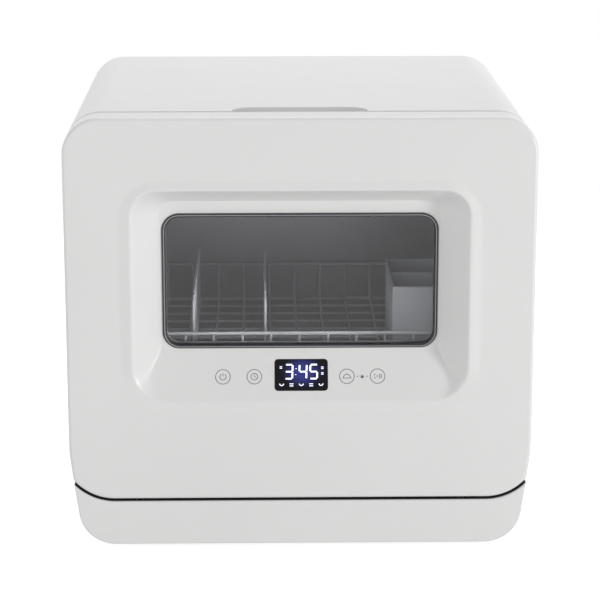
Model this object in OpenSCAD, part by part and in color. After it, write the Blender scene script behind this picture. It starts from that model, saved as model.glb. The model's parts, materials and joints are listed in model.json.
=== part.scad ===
// Countertop dishwasher with a drop-down window door and a sliding rack.
// X is to the right, the door faces -Y and Z is up. The origin is under the middle of the whole box.

/* [Body] */
// Overall width
body_w = 430; // [410:1:450]
// Overall height, feet included
body_h = 407; // [398:1:430]
// Overall depth, rear connectors included
body_d = 440; // [430:1:470]
// Length of the rear connectors outside the rear panel
connector_out = 24; // [20:1:30]
// Radius of the upper corners
top_r = 34; // [24:1:40]
// Height at which the sides start to lean in
taper_z = 92; // [84:1:99]
// Lean of the lower sides, in degrees
taper_a = 8; // [5:0.5:10]
// Wall of the outer casing
casing_t = 2.5; // [2:0.1:3.5]
// Height of the feet under the base
foot_h = 4; // [3:0.5:8]
// Radius of a foot
foot_r = 12; // [9:0.5:16]
// Distance of the feet from the sides and ends of the base
foot_inset = 52; // [45:1:65]

/* [Base] */
// Height of the base's flat top above the ground
base_h = 46; // [44:0.5:50]
// Radius of the base's lower corners
base_r = 34; // [28:1:36]
// Wall of the base mouldings
base_t = 2.5; // [2:0.1:3]

/* [Door] */
// Thickness of the door
door_t = 36; // [34:0.5:38]
// Gap between the door and the casing
seam_gap = 2.5; // [2:0.1:4]
// Gap between the door and the base
foot_gap = 2.4; // [2.2:0.1:3.4]
// Wall of the door's outer shell
door_skin = 2.5; // [2:0.1:3]
// Thickness of the door's inner liner
liner_t = 2; // [1.5:0.1:2.5]
// Radius of the door's lower corners
corner_r = 50; // [40:1:56]
// Distance of the lower corners' centres from the sides
corner_in = 42.2; // [39:0.1:45]

/* [Window] */
// Width of the window
window_w = 254; // [230:1:264]
// Height of the window's lower edge over the base
window_sill = 141.8; // [135:0.2:150]
// Distance from the top of the body to the window
window_drop = 91.6; // [88:0.2:104]
// Corner radius of the window
window_r = 16; // [10:0.5:20]
// Width of the dark frame round the window
frame_w = 3.5; // [2.5:0.1:5]
// Thickness of one pane
pane_t = 3; // [2.5:0.1:3.2]
// Overlap of the panes behind their openings
pane_lap = 9; // [6:0.5:10]

/* [Sunk field] */
// Depth of the sunk field at the window
sunk_depth = 22; // [18:0.5:24]
// Run of the side walls
side_run = 25; // [18:0.5:28]
// Run of the top wall
top_run = 18; // [12:0.5:20]
// Run of the control slope
slope_run = 44; // [40:0.5:48]
// Height of the soft crest round the field, over the door's face
crest_h = 2.2; // [1.5:0.1:3]
// Width of the crest's outer slope at the sides
crest_w = 16; // [10:0.5:18]
// Width of the crest's outer slope at the top
crest_top = 9; // [6:0.5:12]
// Corner radius of the field
field_r = 32; // [24:1:36]
// Corner radius of the field's floor
floor_r = 20; // [14:1:24]
// Plain strip beside the window on the floor
floor_rim = 2; // [1.5:0.5:4]
// Plain strip over the window on the floor
floor_top = 6; // [4:0.5:8]

/* [Controls] */
// Width of the display lens
lens_w = 49; // [40:0.5:56]
// Height of the display lens along the slope
lens_h = 30; // [24:0.5:32]
// Thickness of the display lens
lens_t = 2; // [1.6:0.1:2.4]
// Offset of the display from the middle
lens_x = 0.8; // [-5:0.1:5]
// Width of the display board
board_w = 62; // [58:0.5:70]
// Thickness of a circuit board
board_t = 1.6; // [1.2:0.1:2]
// Width of one touch foil
foil_w = 54; // [48:0.5:60]

/* [Finger pocket] */
// Width of the pocket
pocket_w = 122; // [100:1:130]
// Depth of the pocket, front to back
pocket_d = 24; // [18:0.5:28]
// Height of the pocket
pocket_h = 17; // [14:0.5:18]
// Corner radius of the pocket
pocket_r = 10; // [6:0.5:12]

/* [Tub] */
// Space between the casing's side and the tub
side_space = 34.5; // [32:0.5:38]
// Space between the base and the tub
machine_h = 58; // [56:0.5:62]
// Space between the tub and the top
top_space = 32; // [31:0.5:36]
// Space between the tub and the rear of the casing
rear_bay = 46; // [44:0.5:54]
// Wall of the tub
tub_t = 1.2; // [0.8:0.1:1.5]
// Corner radius of the tub
tub_r = 20; // [14:1:26]
// Thickness of the front frame
frame_t = 5; // [4:0.5:6]
// Width of the tub seal
seal_w = 8; // [6:0.5:9]

/* [Hinge] */
// Distance of the hinges from the sides
hinge_side = 65; // [60:1:85]
// Depth of the hinge axis behind the door's front
hinge_in = 7; // [6.8:0.1:7.2]
// Height of the hinge axis under the base's top
hinge_down = 12; // [11.5:0.1:13]
// Radius of a hinge pin
hinge_pin_r = 2.2; // [2:0.1:2.3]
// Thickness of a hinge arm
arm_t = 5; // [4:0.2:6]
// Depth of the arm's upright, front to back
arm_d = 6.2; // [5.5:0.1:7]
// Thickness of a bracket cheek
cheek_t = 2; // [1.5:0.1:2.5]
// Length of a hinge spring
spring_l = 9; // [8:0.5:11]

/* [Spray and filter] */
// Radius of the spray arm
spray_r = 152; // [130:1:155]
// Width of the spray arm
spray_w = 32; // [26:1:36]
// Radius of the spray arm's shaft
shaft_r = 8.5; // [7:0.1:9]
// Distance between the shaft and the filter cup
filter_off = 66; // [62:1:68]
// Radius of the filter cup
filter_r = 27; // [24:0.5:29]
// Radius of the sump's inside
sump_r = 37; // [34:0.5:38]
// Depth of the sump under the tub
sump_h = 46; // [42:0.5:48]
// Radius of the heating element's ring
heater_ring_r = 105; // [98:1:118]
// Radius of the heating element's tube
heater_r = 3.5; // [3:0.1:4]

/* [Pumps and fan] */
// Height of the pump axes and the rear connectors over the ground
pump_z = 64; // [62:0.5:66]
// Distance of the wash pump from the middle
wash_x = 100; // [96:1:108]
// Radius of the wash pump
wash_r = 34; // [30:0.5:36]
// Length of the wash pump's chamber
wash_l = 30; // [26:1:34]
// Length of the wash pump's motor
wash_motor_l = 62; // [50:1:70]
// Distance of the drain pump from the middle
drain_x = 90; // [84:1:96]
// Radius of the drain pump
drain_r = 22; // [19:0.5:24]
// Radius of the inner hoses
hose_r = 8; // [7:0.1:9]
// Radius of the fan's mouth
fan_r = 30; // [26:0.5:32]
// Side of the fan's square housing
fan_side = 70; // [68:1:76]
// Radius of the motor and fan shafts
spindle_r = 3; // [2.5:0.1:3.5]

/* [Connectors] */
// Radius of the water inlet thread, G 3/4
inlet_r = 13.2; // [12:0.1:13.5]
// Radius of the drain outlet
outlet_r = 9.5; // [8.5:0.1:11]
// Radius of the power gland's hole
gland_r = 3.8; // [3:0.1:4.5]

/* [Rack] */
// Clearance between the rack and the tub's sides
rack_side = 15; // [13:0.5:18]
// Clearance in front of the rack
rack_front = 16; // [14:0.5:20]
// Clearance behind the rack
rack_rear = 14; // [12:0.5:18]
// Height of the rack's walls
rack_h = 38; // [30:1:60]
// Height of the runners over the tub's floor
runner_up = 40; // [39:0.5:46]
// Radius of the rack's main wires
wire_r = 1.8; // [1.5:0.1:2.2]
// Radius of the rack's thin wires
thin_r = 1.3; // [1:0.1:1.4]
// Height of a tine
tine_h = 60; // [48:1:70]

/* [Hidden] */
$fn = 64;

eps = 0.01;
// Gap between pieces that run past each other
run_gap = 0.3;
// Radial clearance of a shaft in its bore
fit = 0.05;

// The door's face. The crest round the sunk field stands out of it and is the foremost line.
y_front = crest_h - body_d / 2;
y_door = y_front + door_t;
y_liner = y_door - liner_t;
y_case = y_door + seam_gap;
y_back = body_d / 2 - connector_out;
z_pan = foot_h + base_t;
z_door = base_h + foot_gap;
case_in = body_w / 2 - casing_t;

// Lower corner of the door: an arc that the leaning side cuts off
corner_x = body_w / 2 - corner_in;
corner_z = z_door + corner_r;
corner_reach = (body_w / 2 - corner_x) * cos(taper_a) + (corner_z - taper_z) * sin(taper_a);
// Lower corner of the base: an arc that touches the leaning side and the bottom
base_cz = foot_h + base_r;
base_cx = body_w / 2 + ((base_cz - taper_z) * sin(taper_a) - base_r) / cos(taper_a);

tub_half = case_in - side_space;
tub_in = tub_half - tub_t;
tub_z0 = base_h + machine_h;
tub_z1 = body_h - top_space;
tub_floor = tub_z0 + tub_t;
tub_y0 = y_case + frame_t;
tub_y1 = y_back - rear_bay;
tub_rear = tub_y1 - tub_t;
spray_y = (tub_y0 + tub_y1) / 2;
filter_y = spray_y - filter_off;

win_z1 = body_h - window_drop;
win_z0 = base_h + window_sill;
floor_half = window_w / 2 + floor_rim;
floor_z0 = win_z0 - 1;
floor_z1 = win_z1 + floor_top;
field_half = floor_half + side_run;
field_z0 = floor_z0 - slope_run;
field_z1 = floor_z1 + top_run;
y_floor = y_front + sunk_depth;
y_crest = y_front - crest_h;
slope_a = atan(sunk_depth / slope_run);
// Middle of the display on the slope
lens_z = field_z0 + slope_run / 2;
lens_y = (y_front + y_floor) / 2;

hinge_x = body_w / 2 - hinge_side;
hinge_y = y_front + hinge_in;
hinge_z = base_h - hinge_down;
arm_gap = 0.8;
arm_f0 = hinge_down + arm_gap;
arm_f1 = arm_f0 + arm_d;
eye_r = hinge_pin_r + 2;
cheek_x0 = arm_t / 2 + run_gap;
cheek_x1 = cheek_x0 + run_gap + spring_l;

rack_half = tub_in - rack_side;
rack_y0 = tub_y0 + rack_front;
rack_y1 = tub_rear - rack_rear;
runner_z = tub_floor + runner_up;
runner_t = 6;
runner_w = 8;
// The glides reach under the rack's lower wires by glide_t
glide_t = 1.2;
rack_z0 = runner_z + runner_t + run_gap + glide_t + wire_r;
rack_z1 = rack_z0 + rack_h;

arm_z0 = tub_floor + 11;
arm_z1 = arm_z0 + 14;
sump_floor = tub_z0 - sump_h;
pump_y = spray_y + 8;
motor_y = pump_y + wash_l;
fan_x = tub_half - 52;
fan_z = tub_z1 - 46;
fan_y0 = tub_y1 + 16;
panel_t = 2;
y_panel = y_back - panel_t;

latch_x = body_w / 2 - 110;
latch_w = 30;
latch_d = 26;
latch_z0 = tub_z1 + 4;
latch_z1 = body_h - casing_t - 1;
strike_z = latch_z0 + 9;
strike_h = 3;
bolt_w = 7;
switch_x = latch_x + latch_w / 2 + 18;
plunger_r = 2.4;

cup_x0 = -tub_in + 24;
cup_w = 58;
cup_z0 = tub_floor + 9;
cup_h = 36;
cup_d = 15;
cup_t = 1.5;
lid_t = 1.5;

function arc(cx, cz, r, a0, a1, n = 10) =
    [for (k = [0 : n]) let (a = a0 + (a1 - a0) * k / n) [cx + r * cos(a), cz + r * sin(a)]];
function flipped(pts) = [for (k = [len(pts) - 1 : -1 : 0]) [-pts[k][0], pts[k][1]]];
function both(pts) = concat(pts, flipped(pts));
function side_x(z, i) = body_w / 2 - i / cos(taper_a) - max(0, taper_z - z) * tan(taper_a);
function top_arc(i) = arc(body_w / 2 - top_r, body_h - top_r, top_r - i, 90, 0);
function lean_start(i) = [[body_w / 2 - i, taper_z + i * tan(taper_a / 2)]];
// Angle at which a corner arc of radius r meets the leaning side, inset by i
function meet_a(r, i) = taper_a + acos((corner_reach - i) / r);
function lower_arc(i) = arc(base_cx, base_cz, base_r - i, -taper_a, -90, 8);
function door_line(i) =
    both(concat(top_arc(i), lean_start(i),
        arc(corner_x, corner_z, corner_r - i, -meet_a(corner_r - i, i), -90, 8)));
function case_line(i) = both(concat(top_arc(i), lean_start(i), lower_arc(i)));
function base_line(i) = let (r = corner_r + foot_gap + i)
    both(concat(arc(corner_x, corner_z, r, -90, -meet_a(r, i), 8), lower_arc(i)));
function pan_line(i, top) = both(concat([[side_x(top, i), top]], lower_arc(i)));

// Extrudes a front view, drawn in X and Z, from y0 to y1
module plate(y0, y1) {
    translate([0, y1, 0]) rotate([90, 0, 0]) linear_extrude(y1 - y0) children();
}
// Extrudes a side view, drawn in Y and Z, from x0 to x1
module slab(x0, x1) {
    translate([x0, 0, 0]) rotate([90, 0, 90]) linear_extrude(x1 - x0) children();
}
module block(x0, x1, y0, y1, z0, z1) {
    translate([x0, y0, z0]) cube([x1 - x0, y1 - y0, z1 - z0]);
}
module rod_x(r, x0, x1, y, z) {
    translate([x0, y, z]) rotate([0, 90, 0]) cylinder(r = r, h = x1 - x0);
}
module rod_y(r, y0, y1, x, z) {
    translate([x, y1, z]) rotate([90, 0, 0]) cylinder(r = r, h = y1 - y0);
}
module rod_z(r, z0, z1, x, y) {
    translate([x, y, z0]) cylinder(r = r, h = z1 - z0);
}
// Rounded rectangle with true round corners
module round_rect(x0, x1, z0, z1, r) {
    translate([x0 + r, z0]) square([x1 - x0 - 2 * r, z1 - z0]);
    translate([x0, z0 + r]) square([x1 - x0, z1 - z0 - 2 * r]);
    for (x = [x0 + r, x1 - r], z = [z0 + r, z1 - r]) translate([x, z]) circle(r = r);
}
// Outline of the tub's section, grown by g
module tub_outline(g) {
    round_rect(-tub_in - g, tub_in + g, tub_floor - g, tub_z1 - tub_t + g, tub_r + g);
}
// Outline of the window, grown by g
module window_outline(g) {
    round_rect(-window_w / 2 - g, window_w / 2 + g, win_z0 - g, win_z1 + g, window_r + g);
}
module twice() {
    children();
    mirror([1, 0, 0]) children();
}
// The long round-ended shape that holds the shaft and the filter, grown to radius r
module sump_shape(r, z0, z1) {
    rod_z(r, z0, z1, 0, spray_y);
    rod_z(r, z0, z1, 0, filter_y);
    block(-r, r, filter_y, spray_y, z0, z1);
}

// ---- casing and base ----

module pocket_form(g, top) {
    x = pocket_w / 2 + g;
    y = y_case + pocket_d + g;
    r = pocket_r + g;
    translate([0, 0, body_h - pocket_h - g]) linear_extrude(top) {
        translate([-x, y_case - (g > 0 ? 0 : 1)]) square([2 * x, pocket_d - pocket_r + (g > 0 ? 0 : 1)]);
        translate([-x + r, y_case + eps]) square([2 * (x - r), pocket_d + g - eps]);
        for (s = [-1, 1]) translate([s * (x - r), y - r]) circle(r = r);
    }
}
module outer_casing() color("whitesmoke") difference() {
    union() {
        plate(y_case, y_back) difference() {
            polygon(case_line(0));
            polygon(case_line(casing_t));
            translate([-body_w, -body_h]) square([2 * body_w, body_h + base_h]);
        }
        pocket_form(casing_t, pocket_h + casing_t / 2);
    }
    pocket_form(0, pocket_h + 1);
}
module front_frame() color("gainsboro") difference() {
    plate(y_case, tub_y0) difference() {
        polygon(case_line(casing_t));
        translate([-body_w, -body_h]) square([2 * body_w, body_h + base_h]);
        tub_outline(0);
    }
    block(-pocket_w / 2 - casing_t, pocket_w / 2 + casing_t, y_case - 1, tub_y0 + 1,
        body_h - pocket_h - casing_t, body_h);
    block(latch_x - latch_w / 2 + 4, latch_x + latch_w / 2 - 4, y_case - 1, tub_y0 + 1,
        strike_z - 3, strike_z + strike_h + 3);
    rod_y(plunger_r + fit, y_case - 1, tub_y0 + 1, switch_x, strike_z);
}
vent_n = 9;
vent_pitch = 7;
vent_w = 3;
module rear_panel() color("lightgrey") difference() {
    plate(y_panel, y_back) intersection() {
        polygon(case_line(casing_t));
        translate([-body_w, base_h]) square([2 * body_w, body_h]);
    }
    for (k = [0 : vent_n - 1])
        block(fan_x - fan_r, fan_x + fan_r, y_panel - 1, y_back + 1,
            fan_z + (k - (vent_n - 1) / 2) * vent_pitch - vent_w / 2,
            fan_z + (k - (vent_n - 1) / 2) * vent_pitch + vent_w / 2);
    rod_y(inlet_r + 3, y_panel - 1, y_back + 1, valve_x, pump_z);
    rod_y(outlet_r + 3, y_panel - 1, y_back + 1, drain_x, pump_z);
    rod_y(gland_r + 3, y_panel - 1, y_back + 1, gland_x, pump_z);
    for (p = rear_screw_places()) rod_y(screw_r, y_panel - 1, y_back + 1, p[0], p[1]);
}
module base_pan() color("whitesmoke") difference() {
    plate(y_case, y_back) polygon(pan_line(0, base_h));
    plate(y_case + base_t, y_back - base_t) polygon(pan_line(base_t, base_h + 1));
    for (p = foot_places()) if (p[1] > y_case) rod_z(foot_stud_r, 0, z_pan + 1, p[0], p[1]);
    for (x = base_screw_places()) rod_y(screw_r, y_case - 1, y_case + base_t + 1, x, base_screw_z);
    for (x = [-60 : 15 : 60]) block(x - 2, x + 2, 90, 140, 0, z_pan + 1);
}
module base_front() color("whitesmoke") difference() {
    plate(y_front, y_case) polygon(base_line(0));
    plate(y_front + base_t, y_case + 1) polygon(base_line(base_t));
    twice() block(hinge_x - cheek_x0 - 0.7, hinge_x + cheek_x0 + 0.7,
        y_front + base_t, hinge_y + arm_f1 + 3, base_h - base_t - 1, base_h + 1);
}
foot_stud_r = 4;
function foot_places() = [for (x = [-1, 1], y = [y_case + foot_inset / 2, y_back - foot_inset / 2])
    [x * (body_w / 2 - foot_inset - 8), y]];
module rubber_feet() color("dimgrey") for (p = foot_places()) {
    rod_z(foot_r, 0, foot_h, p[0], p[1]);
    rod_z(foot_stud_r, foot_h, z_pan, p[0], p[1]);
}
screw_r = 1.5;
function rear_screw_places() = [for (x = [-1, 1], k = [0 : 3])
    [x * (case_in - 9 - (k == 3 ? 12 : 0)), base_h + 30 + k * (body_h - base_h - 58) / 3]];
screw_head_r = 3;
screw_head_h = 1.8;
screw_l = 8;
base_screw_z = z_pan + 12;
function base_screw_places() = [-120, -40, 40, 120];
// Round-headed screw along Y with its head outside at y and its shank going towards side s
module screw(x, y, z, s, l) {
    head = y - s * screw_head_h;
    rod_y(screw_head_r, min(y, head), max(y, head), x, z);
    rod_y(screw_r, min(y, y + s * l), max(y, y + s * l), x, z);
}
module case_screws() color("silver") {
    for (p = rear_screw_places()) screw(p[0], y_back, p[1], -1, screw_l);
    for (x = base_screw_places()) screw(x, y_case + base_t, base_screw_z, -1, screw_l);
}

// ---- chamber ----

module wash_tub() color("silver") difference() {
    plate(tub_y0, tub_y1) tub_outline(tub_t);
    plate(tub_y0 - 1, tub_rear) tub_outline(0);
    sump_shape(sump_r, tub_z0 - 1, tub_floor + 1);
    rod_y(fan_r - 10, tub_rear - 1, tub_y1 + 1, fan_x, fan_z);
    rod_x(break_pipe_r, -tub_half - 1, -tub_in + 1, break_pipe_y, break_pipe_z);
    for (x = heater_leg_x()) rod_z(heater_leg_r, tub_z0 - 1, tub_floor + 1, x, heater_leg_y);
    rod_z(float_post_r, tub_z0 - 1, tub_floor + 1, float_x, float_y);
}
module tub_seal() color("darkgrey") plate(y_door + run_gap, y_case) difference() {
    tub_outline(2 + seal_w);
    tub_outline(2);
}
module rack_runners() color("lightgrey") twice()
    block(tub_in - runner_w, tub_in, tub_y0 + 8, tub_rear - 6, runner_z, runner_z + runner_t);
module sump() color("dimgrey") difference() {
    union() {
        sump_shape(sump_r + 3, sump_floor - 3, tub_z0);
        sump_shape(sump_r + 9, tub_z0 - 3, tub_z0);
    }
    sump_shape(sump_r, sump_floor, tub_z0 + 1);
    rod_z(pressure_r, sump_floor - 4, sump_floor + 1, 0, spray_y);
    rod_x(suction_r, -sump_r - 12, 0, suction_y, pump_z);
    rod_x(hose_r, 0, sump_r + 12, drain_y, pump_z);
}
module filter_plate() color("silver") difference() {
    sump_shape(sump_r + 12, tub_floor, tub_floor + 1.2);
    rod_z(shaft_r + 0.5, tub_floor - 1, tub_floor + 3, 0, spray_y);
    rod_z(filter_r + run_gap, tub_floor - 1, tub_floor + 3, 0, filter_y);
    for (x = [-24 : 8 : 24], y = [filter_y + filter_r + 7 : 8 : spray_y - 16])
        rod_z(1.6, tub_floor - 1, tub_floor + 3, x, y);
}
module spray_shaft() color("dimgrey") difference() {
    union() {
        rod_z(shaft_r, sump_floor, arm_z1 + 7, 0, spray_y);
        rod_z(shaft_r + 6, arm_z0 - run_gap - 3, arm_z0 - run_gap, 0, spray_y);
        rod_z(shaft_r + 5, arm_z1 + run_gap, arm_z1 + 7, 0, spray_y);
        rod_z(sump_r - 12, sump_floor, sump_floor + 4, 0, spray_y);
    }
    rod_z(shaft_r - 2.5, sump_floor - 1, arm_z1 - 2, 0, spray_y);
    for (a = [0 : 60 : 300]) translate([0, spray_y, arm_z0 + 7]) rotate([90, 0, a])
        cylinder(r = 2.5, h = shaft_r + 1);
}
heater_gap_a = 24;
heater_leg_r = heater_r + 1.1;
heater_z = tub_floor + heater_r + 1.5;
heater_leg_y = spray_y + heater_ring_r * cos(heater_gap_a / 2);
function heater_leg_x() = [for (s = [-1, 1]) s * heater_ring_r * sin(heater_gap_a / 2)];
module heating_element() color("silver") {
    translate([0, spray_y, heater_z]) rotate([0, 0, 90 + heater_gap_a / 2])
        rotate_extrude(angle = 360 - heater_gap_a) translate([heater_ring_r, 0]) circle(r = heater_r);
    for (x = heater_leg_x()) rod_z(heater_leg_r, tub_z0 - 16, heater_z + heater_leg_r, x, heater_leg_y);
}
float_x = -tub_in + 30;
float_y = tub_y0 + 34;
float_post_r = 2.5;
float_r = 11;
float_top = tub_floor + 24;
// The float rises by its stroke and stays 1 mm short of the guide's cap
float_stroke = 6;
cap_z = float_top + float_stroke + 1;
cap_t = 3;
module float_guide() color("gainsboro") {
    rod_z(float_post_r, tub_z0 - 8, cap_z + cap_t, float_x, float_y);
    rod_z(float_post_r + 3, cap_z, cap_z + cap_t, float_x, float_y);
    rod_z(6, tub_floor, tub_floor + 2, float_x, float_y);
    block(float_x - 9, float_x + 9, float_y - 6, float_y + 6, tub_z0 - 20, tub_z0 - 8);
}

// ---- water, power and air ----

suction_r = 10;
suction_y = spray_y - 24;
drain_y = spray_y - 36;
pressure_r = 7;
pipe_t = 2;
valve_x = -case_in + 34;
gland_x = drain_x + 44;
module pump_foot(x, y0, y1, r, w) {
    block(x - w / 2, x + w / 2, y0, y1, z_pan, pump_z - r * 0.8);
}
module wash_pump_housing() color("dimgrey") difference() {
    union() {
        rod_y(wash_r, pump_y, motor_y, -wash_x, pump_z);
        rod_y(suction_r + pipe_t, pump_y - 8, pump_y, -wash_x, pump_z);
        pump_foot(-wash_x, pump_y + 4, motor_y - 4, wash_r, 40);
    }
    rod_y(wash_r - 3, pump_y + 3, motor_y - 3, -wash_x, pump_z);
    rod_y(suction_r, pump_y - 9, pump_y + 4, -wash_x, pump_z);
    rod_y(spindle_r + fit, motor_y - 4, motor_y + 1, -wash_x, pump_z);
    rod_x(pressure_r, -wash_x, -wash_x + wash_r + 5, pump_y + wash_l / 2, pump_z - wash_r / 2);
}
module wash_pump_motor() color("grey") difference() {
    union() {
        rod_y(wash_r - 5, motor_y, motor_y + wash_motor_l, -wash_x, pump_z);
        rod_y(9, motor_y + wash_motor_l, motor_y + wash_motor_l + 6, -wash_x, pump_z);
        pump_foot(-wash_x, motor_y + 12, motor_y + wash_motor_l - 12, wash_r - 5, 34);
    }
    rod_y(spindle_r + fit, motor_y - 1, motor_y + wash_motor_l - 6, -wash_x, pump_z);
}
module wash_impeller() color("ivory") {
    rod_y(spindle_r, pump_y + 10, motor_y + wash_motor_l - 8, -wash_x, pump_z);
    rod_y(wash_r - 8, motor_y - 9, motor_y - 6, -wash_x, pump_z);
    for (a = [0 : 60 : 300]) translate([-wash_x, motor_y - 8, pump_z]) rotate([90, a, 0])
        translate([spindle_r - 0.5, -1, 0]) cube([wash_r - 12 - spindle_r, 2, 12]);
}
module suction_hose() color("black") difference() {
    union() {
        rod_x(suction_r + pipe_t, -wash_x, -sump_r - 3, suction_y, pump_z);
        rod_y(suction_r + pipe_t, suction_y, pump_y - 8, -wash_x, pump_z);
        translate([-wash_x, suction_y, pump_z]) sphere(r = suction_r + pipe_t);
    }
    rod_x(suction_r, -wash_x, -sump_r, suction_y, pump_z);
    rod_y(suction_r, suction_y, pump_y, -wash_x, pump_z);
    translate([-wash_x, suction_y, pump_z]) sphere(r = suction_r);
}
press_y = pump_y + wash_l / 2;
press_z = pump_z - wash_r / 2;
module pressure_pipe() color("black") difference() {
    union() {
        rod_x(pressure_r + pipe_t, -wash_x + wash_r + 1, 0, press_y, press_z - 10);
        rod_y(pressure_r + pipe_t, spray_y, press_y, 0, press_z - 10);
        translate([0, press_y, press_z - 10]) sphere(r = pressure_r + pipe_t);
        translate([0, spray_y, press_z - 10]) sphere(r = pressure_r + pipe_t);
        rod_z(pressure_r + pipe_t, press_z - 10, sump_floor - 3, 0, spray_y);
        rod_z(pressure_r + pipe_t, press_z - 10, press_z + 4, -wash_x + wash_r + pressure_r + 1, press_y);
    }
    rod_z(pressure_r, press_z - 10, sump_floor, 0, spray_y);
    rod_y(pressure_r, spray_y, press_y, 0, press_z - 10);
}
drain_l = 26;
drain_motor_l = 34;
module drain_pump() color("dimgrey") difference() {
    union() {
        rod_x(hose_r + pipe_t, sump_r + 3, drain_x - drain_r + 4, drain_y, pump_z);
        rod_y(drain_r, drain_y - drain_l / 2, drain_y + drain_l / 2, drain_x, pump_z);
        rod_y(drain_r - 3, drain_y - drain_l / 2 - drain_motor_l, drain_y - drain_l / 2, drain_x, pump_z);
        rod_y(hose_r, drain_y + drain_l / 2, drain_y + drain_l / 2 + 10, drain_x, pump_z);
        pump_foot(drain_x, drain_y - drain_l / 2 + 3, drain_y + drain_l / 2 - 3, drain_r, 26);
    }
    rod_y(drain_r - 3, drain_y - drain_l / 2 + 3, drain_y + drain_l / 2 - 3, drain_x, pump_z);
    rod_y(hose_r - pipe_t, drain_y, drain_y + drain_l / 2 + 11, drain_x, pump_z);
    rod_x(hose_r, sump_r, drain_x - drain_r + 6, drain_y, pump_z);
    rod_y(spindle_r + fit, drain_y - drain_l / 2 - drain_motor_l + 4, drain_y, drain_x, pump_z);
}
module drain_impeller() color("ivory") {
    rod_y(spindle_r, drain_y - drain_l / 2 - drain_motor_l + 5, drain_y + 5, drain_x, pump_z);
    for (a = [0 : 90 : 270]) translate([drain_x, drain_y + 5, pump_z]) rotate([90, a, 0])
        translate([spindle_r - 0.5, -1, 0]) cube([drain_r - 7 - spindle_r, 2, 12]);
}
module drain_hose() color("black") difference() {
    rod_y(hose_r + pipe_t, drain_y + drain_l / 2, y_panel - 8, drain_x, pump_z);
    rod_y(hose_r, drain_y + drain_l / 2 - 1, drain_y + drain_l / 2 + 10, drain_x, pump_z);
    rod_y(hose_r - pipe_t, drain_y + drain_l / 2, y_panel, drain_x, pump_z);
}
module drain_outlet() color("dimgrey") difference() {
    union() {
        rod_y(outlet_r, y_back, body_d / 2, drain_x, pump_z);
        rod_y(outlet_r + 3, y_panel, y_back, drain_x, pump_z);
        rod_y(outlet_r + 5, y_panel - 8, y_panel, drain_x, pump_z);
    }
    rod_y(outlet_r - 3, y_panel - 9, body_d / 2 + 1, drain_x, pump_z);
}
valve_half = 13;
valve_h = 30;
valve_y0 = y_panel - 36;
// The fill hose stands on the valve's spout and ends under the air break
spout_z = pump_z + valve_h / 2 + 13;
fill_r = 9;
fill_x = valve_x - 4;
fill_y = valve_y0 + 12;
module inlet_valve() color("white") difference() {
    union() {
        rod_y(inlet_r, y_back, body_d / 2, valve_x, pump_z);
        rod_y(inlet_r + 3, y_panel, y_back, valve_x, pump_z);
        rod_y(inlet_r + 4, y_panel - 6, y_panel, valve_x, pump_z);
        block(valve_x - valve_half, valve_x + valve_half, valve_y0, y_panel - 6,
            pump_z - valve_h / 2, pump_z + valve_h / 2);
        rod_z(fill_r - pipe_t, pump_z + valve_h / 2, spout_z, valve_x, fill_y);
    }
    rod_y(inlet_r - 3, y_panel - 10, body_d / 2 + 1, valve_x, pump_z);
}
break_w = 24;
break_h = 130;
break_t = 2;
break_x1 = -tub_half - 0.5;
break_x0 = break_x1 - break_w;
break_z0 = tub_z0 + 80;
break_z1 = break_z0 + break_h;
break_y0 = tub_y1 - 70;
break_y1 = y_panel - 6;
break_pipe_r = 9;
break_pipe_y = break_y0 + 24;
break_pipe_z = break_z0 + 26;
module air_break() color("ivory") difference() {
    union() {
        block(break_x0, break_x1, break_y0, break_y1, break_z0, break_z1);
        rod_x(break_pipe_r, break_x1, -tub_in + 4, break_pipe_y, break_pipe_z);
    }
    block(break_x0 + break_t, break_x1 - break_t, break_y0 + break_t, break_y1 - break_t,
        break_z0 + break_t, break_z1 - break_t);
    rod_x(break_pipe_r - break_t, break_x1 - break_t - 1, -tub_in + 5, break_pipe_y, break_pipe_z);
    rod_z(hose_r - pipe_t, break_z0 - 1, break_z0 + break_t + 1, fill_x, fill_y);
}
module fill_hose() color("black") difference() {
    rod_z(fill_r, spout_z, break_z0, fill_x, fill_y);
    rod_z(fill_r - pipe_t, spout_z - 1, break_z0 + 1, fill_x, fill_y);
}
module fan_housing() color("dimgrey") difference() {
    union() {
        difference() {
            block(fan_x - fan_side / 2, fan_x + fan_side / 2, fan_y0, y_panel, fan_z - fan_side / 2,
                fan_z + fan_side / 2);
            rod_y(fan_r, fan_y0 + 3, y_panel + 1, fan_x, fan_z);
        }
        rod_y(fan_r - 8, tub_y1, fan_y0 + 1, fan_x, fan_z);
        rod_y(9, y_panel - 6, y_panel, fan_x, fan_z);
        for (a = [0 : 90 : 270]) translate([fan_x, y_panel - 3, fan_z]) rotate([0, a, 0])
            translate([-1.5, 0, 0]) cube([3, 3, fan_r + 1]);
    }
    rod_y(fan_r - 10, tub_y1 - 1, fan_y0 + 4, fan_x, fan_z);
    rod_y(spindle_r + fit, y_panel - 7, y_panel - 1, fan_x, fan_z);
}
module fan_rotor() color("black") {
    rod_y(spindle_r, fan_y0 + 8, y_panel - 1.5, fan_x, fan_z);
    rod_y(11, fan_y0 + 8, y_panel - 7, fan_x, fan_z);
    for (a = [0 : 360 / 7 : 359]) translate([fan_x, (fan_y0 + y_panel) / 2, fan_z])
        rotate([0, a, 0]) translate([-5, -1, 10]) rotate([28, 0, 0]) cube([10, 1.6, fan_r - 15]);
}
box_d = 34;
box_h = 96;
box_half = 58;
box_t = 2;
box_y0 = y_panel - box_d;
box_z0 = tub_z0 + 90;
post_in = 12;
board_y0 = box_y0 + 8;
board_y1 = board_y0 + board_t;
board_edge = 5;
board_posts = [for (x = [-1, 1], z = [post_in, box_h - post_in]) [x * (box_half - post_in), box_z0 + z]];
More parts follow.
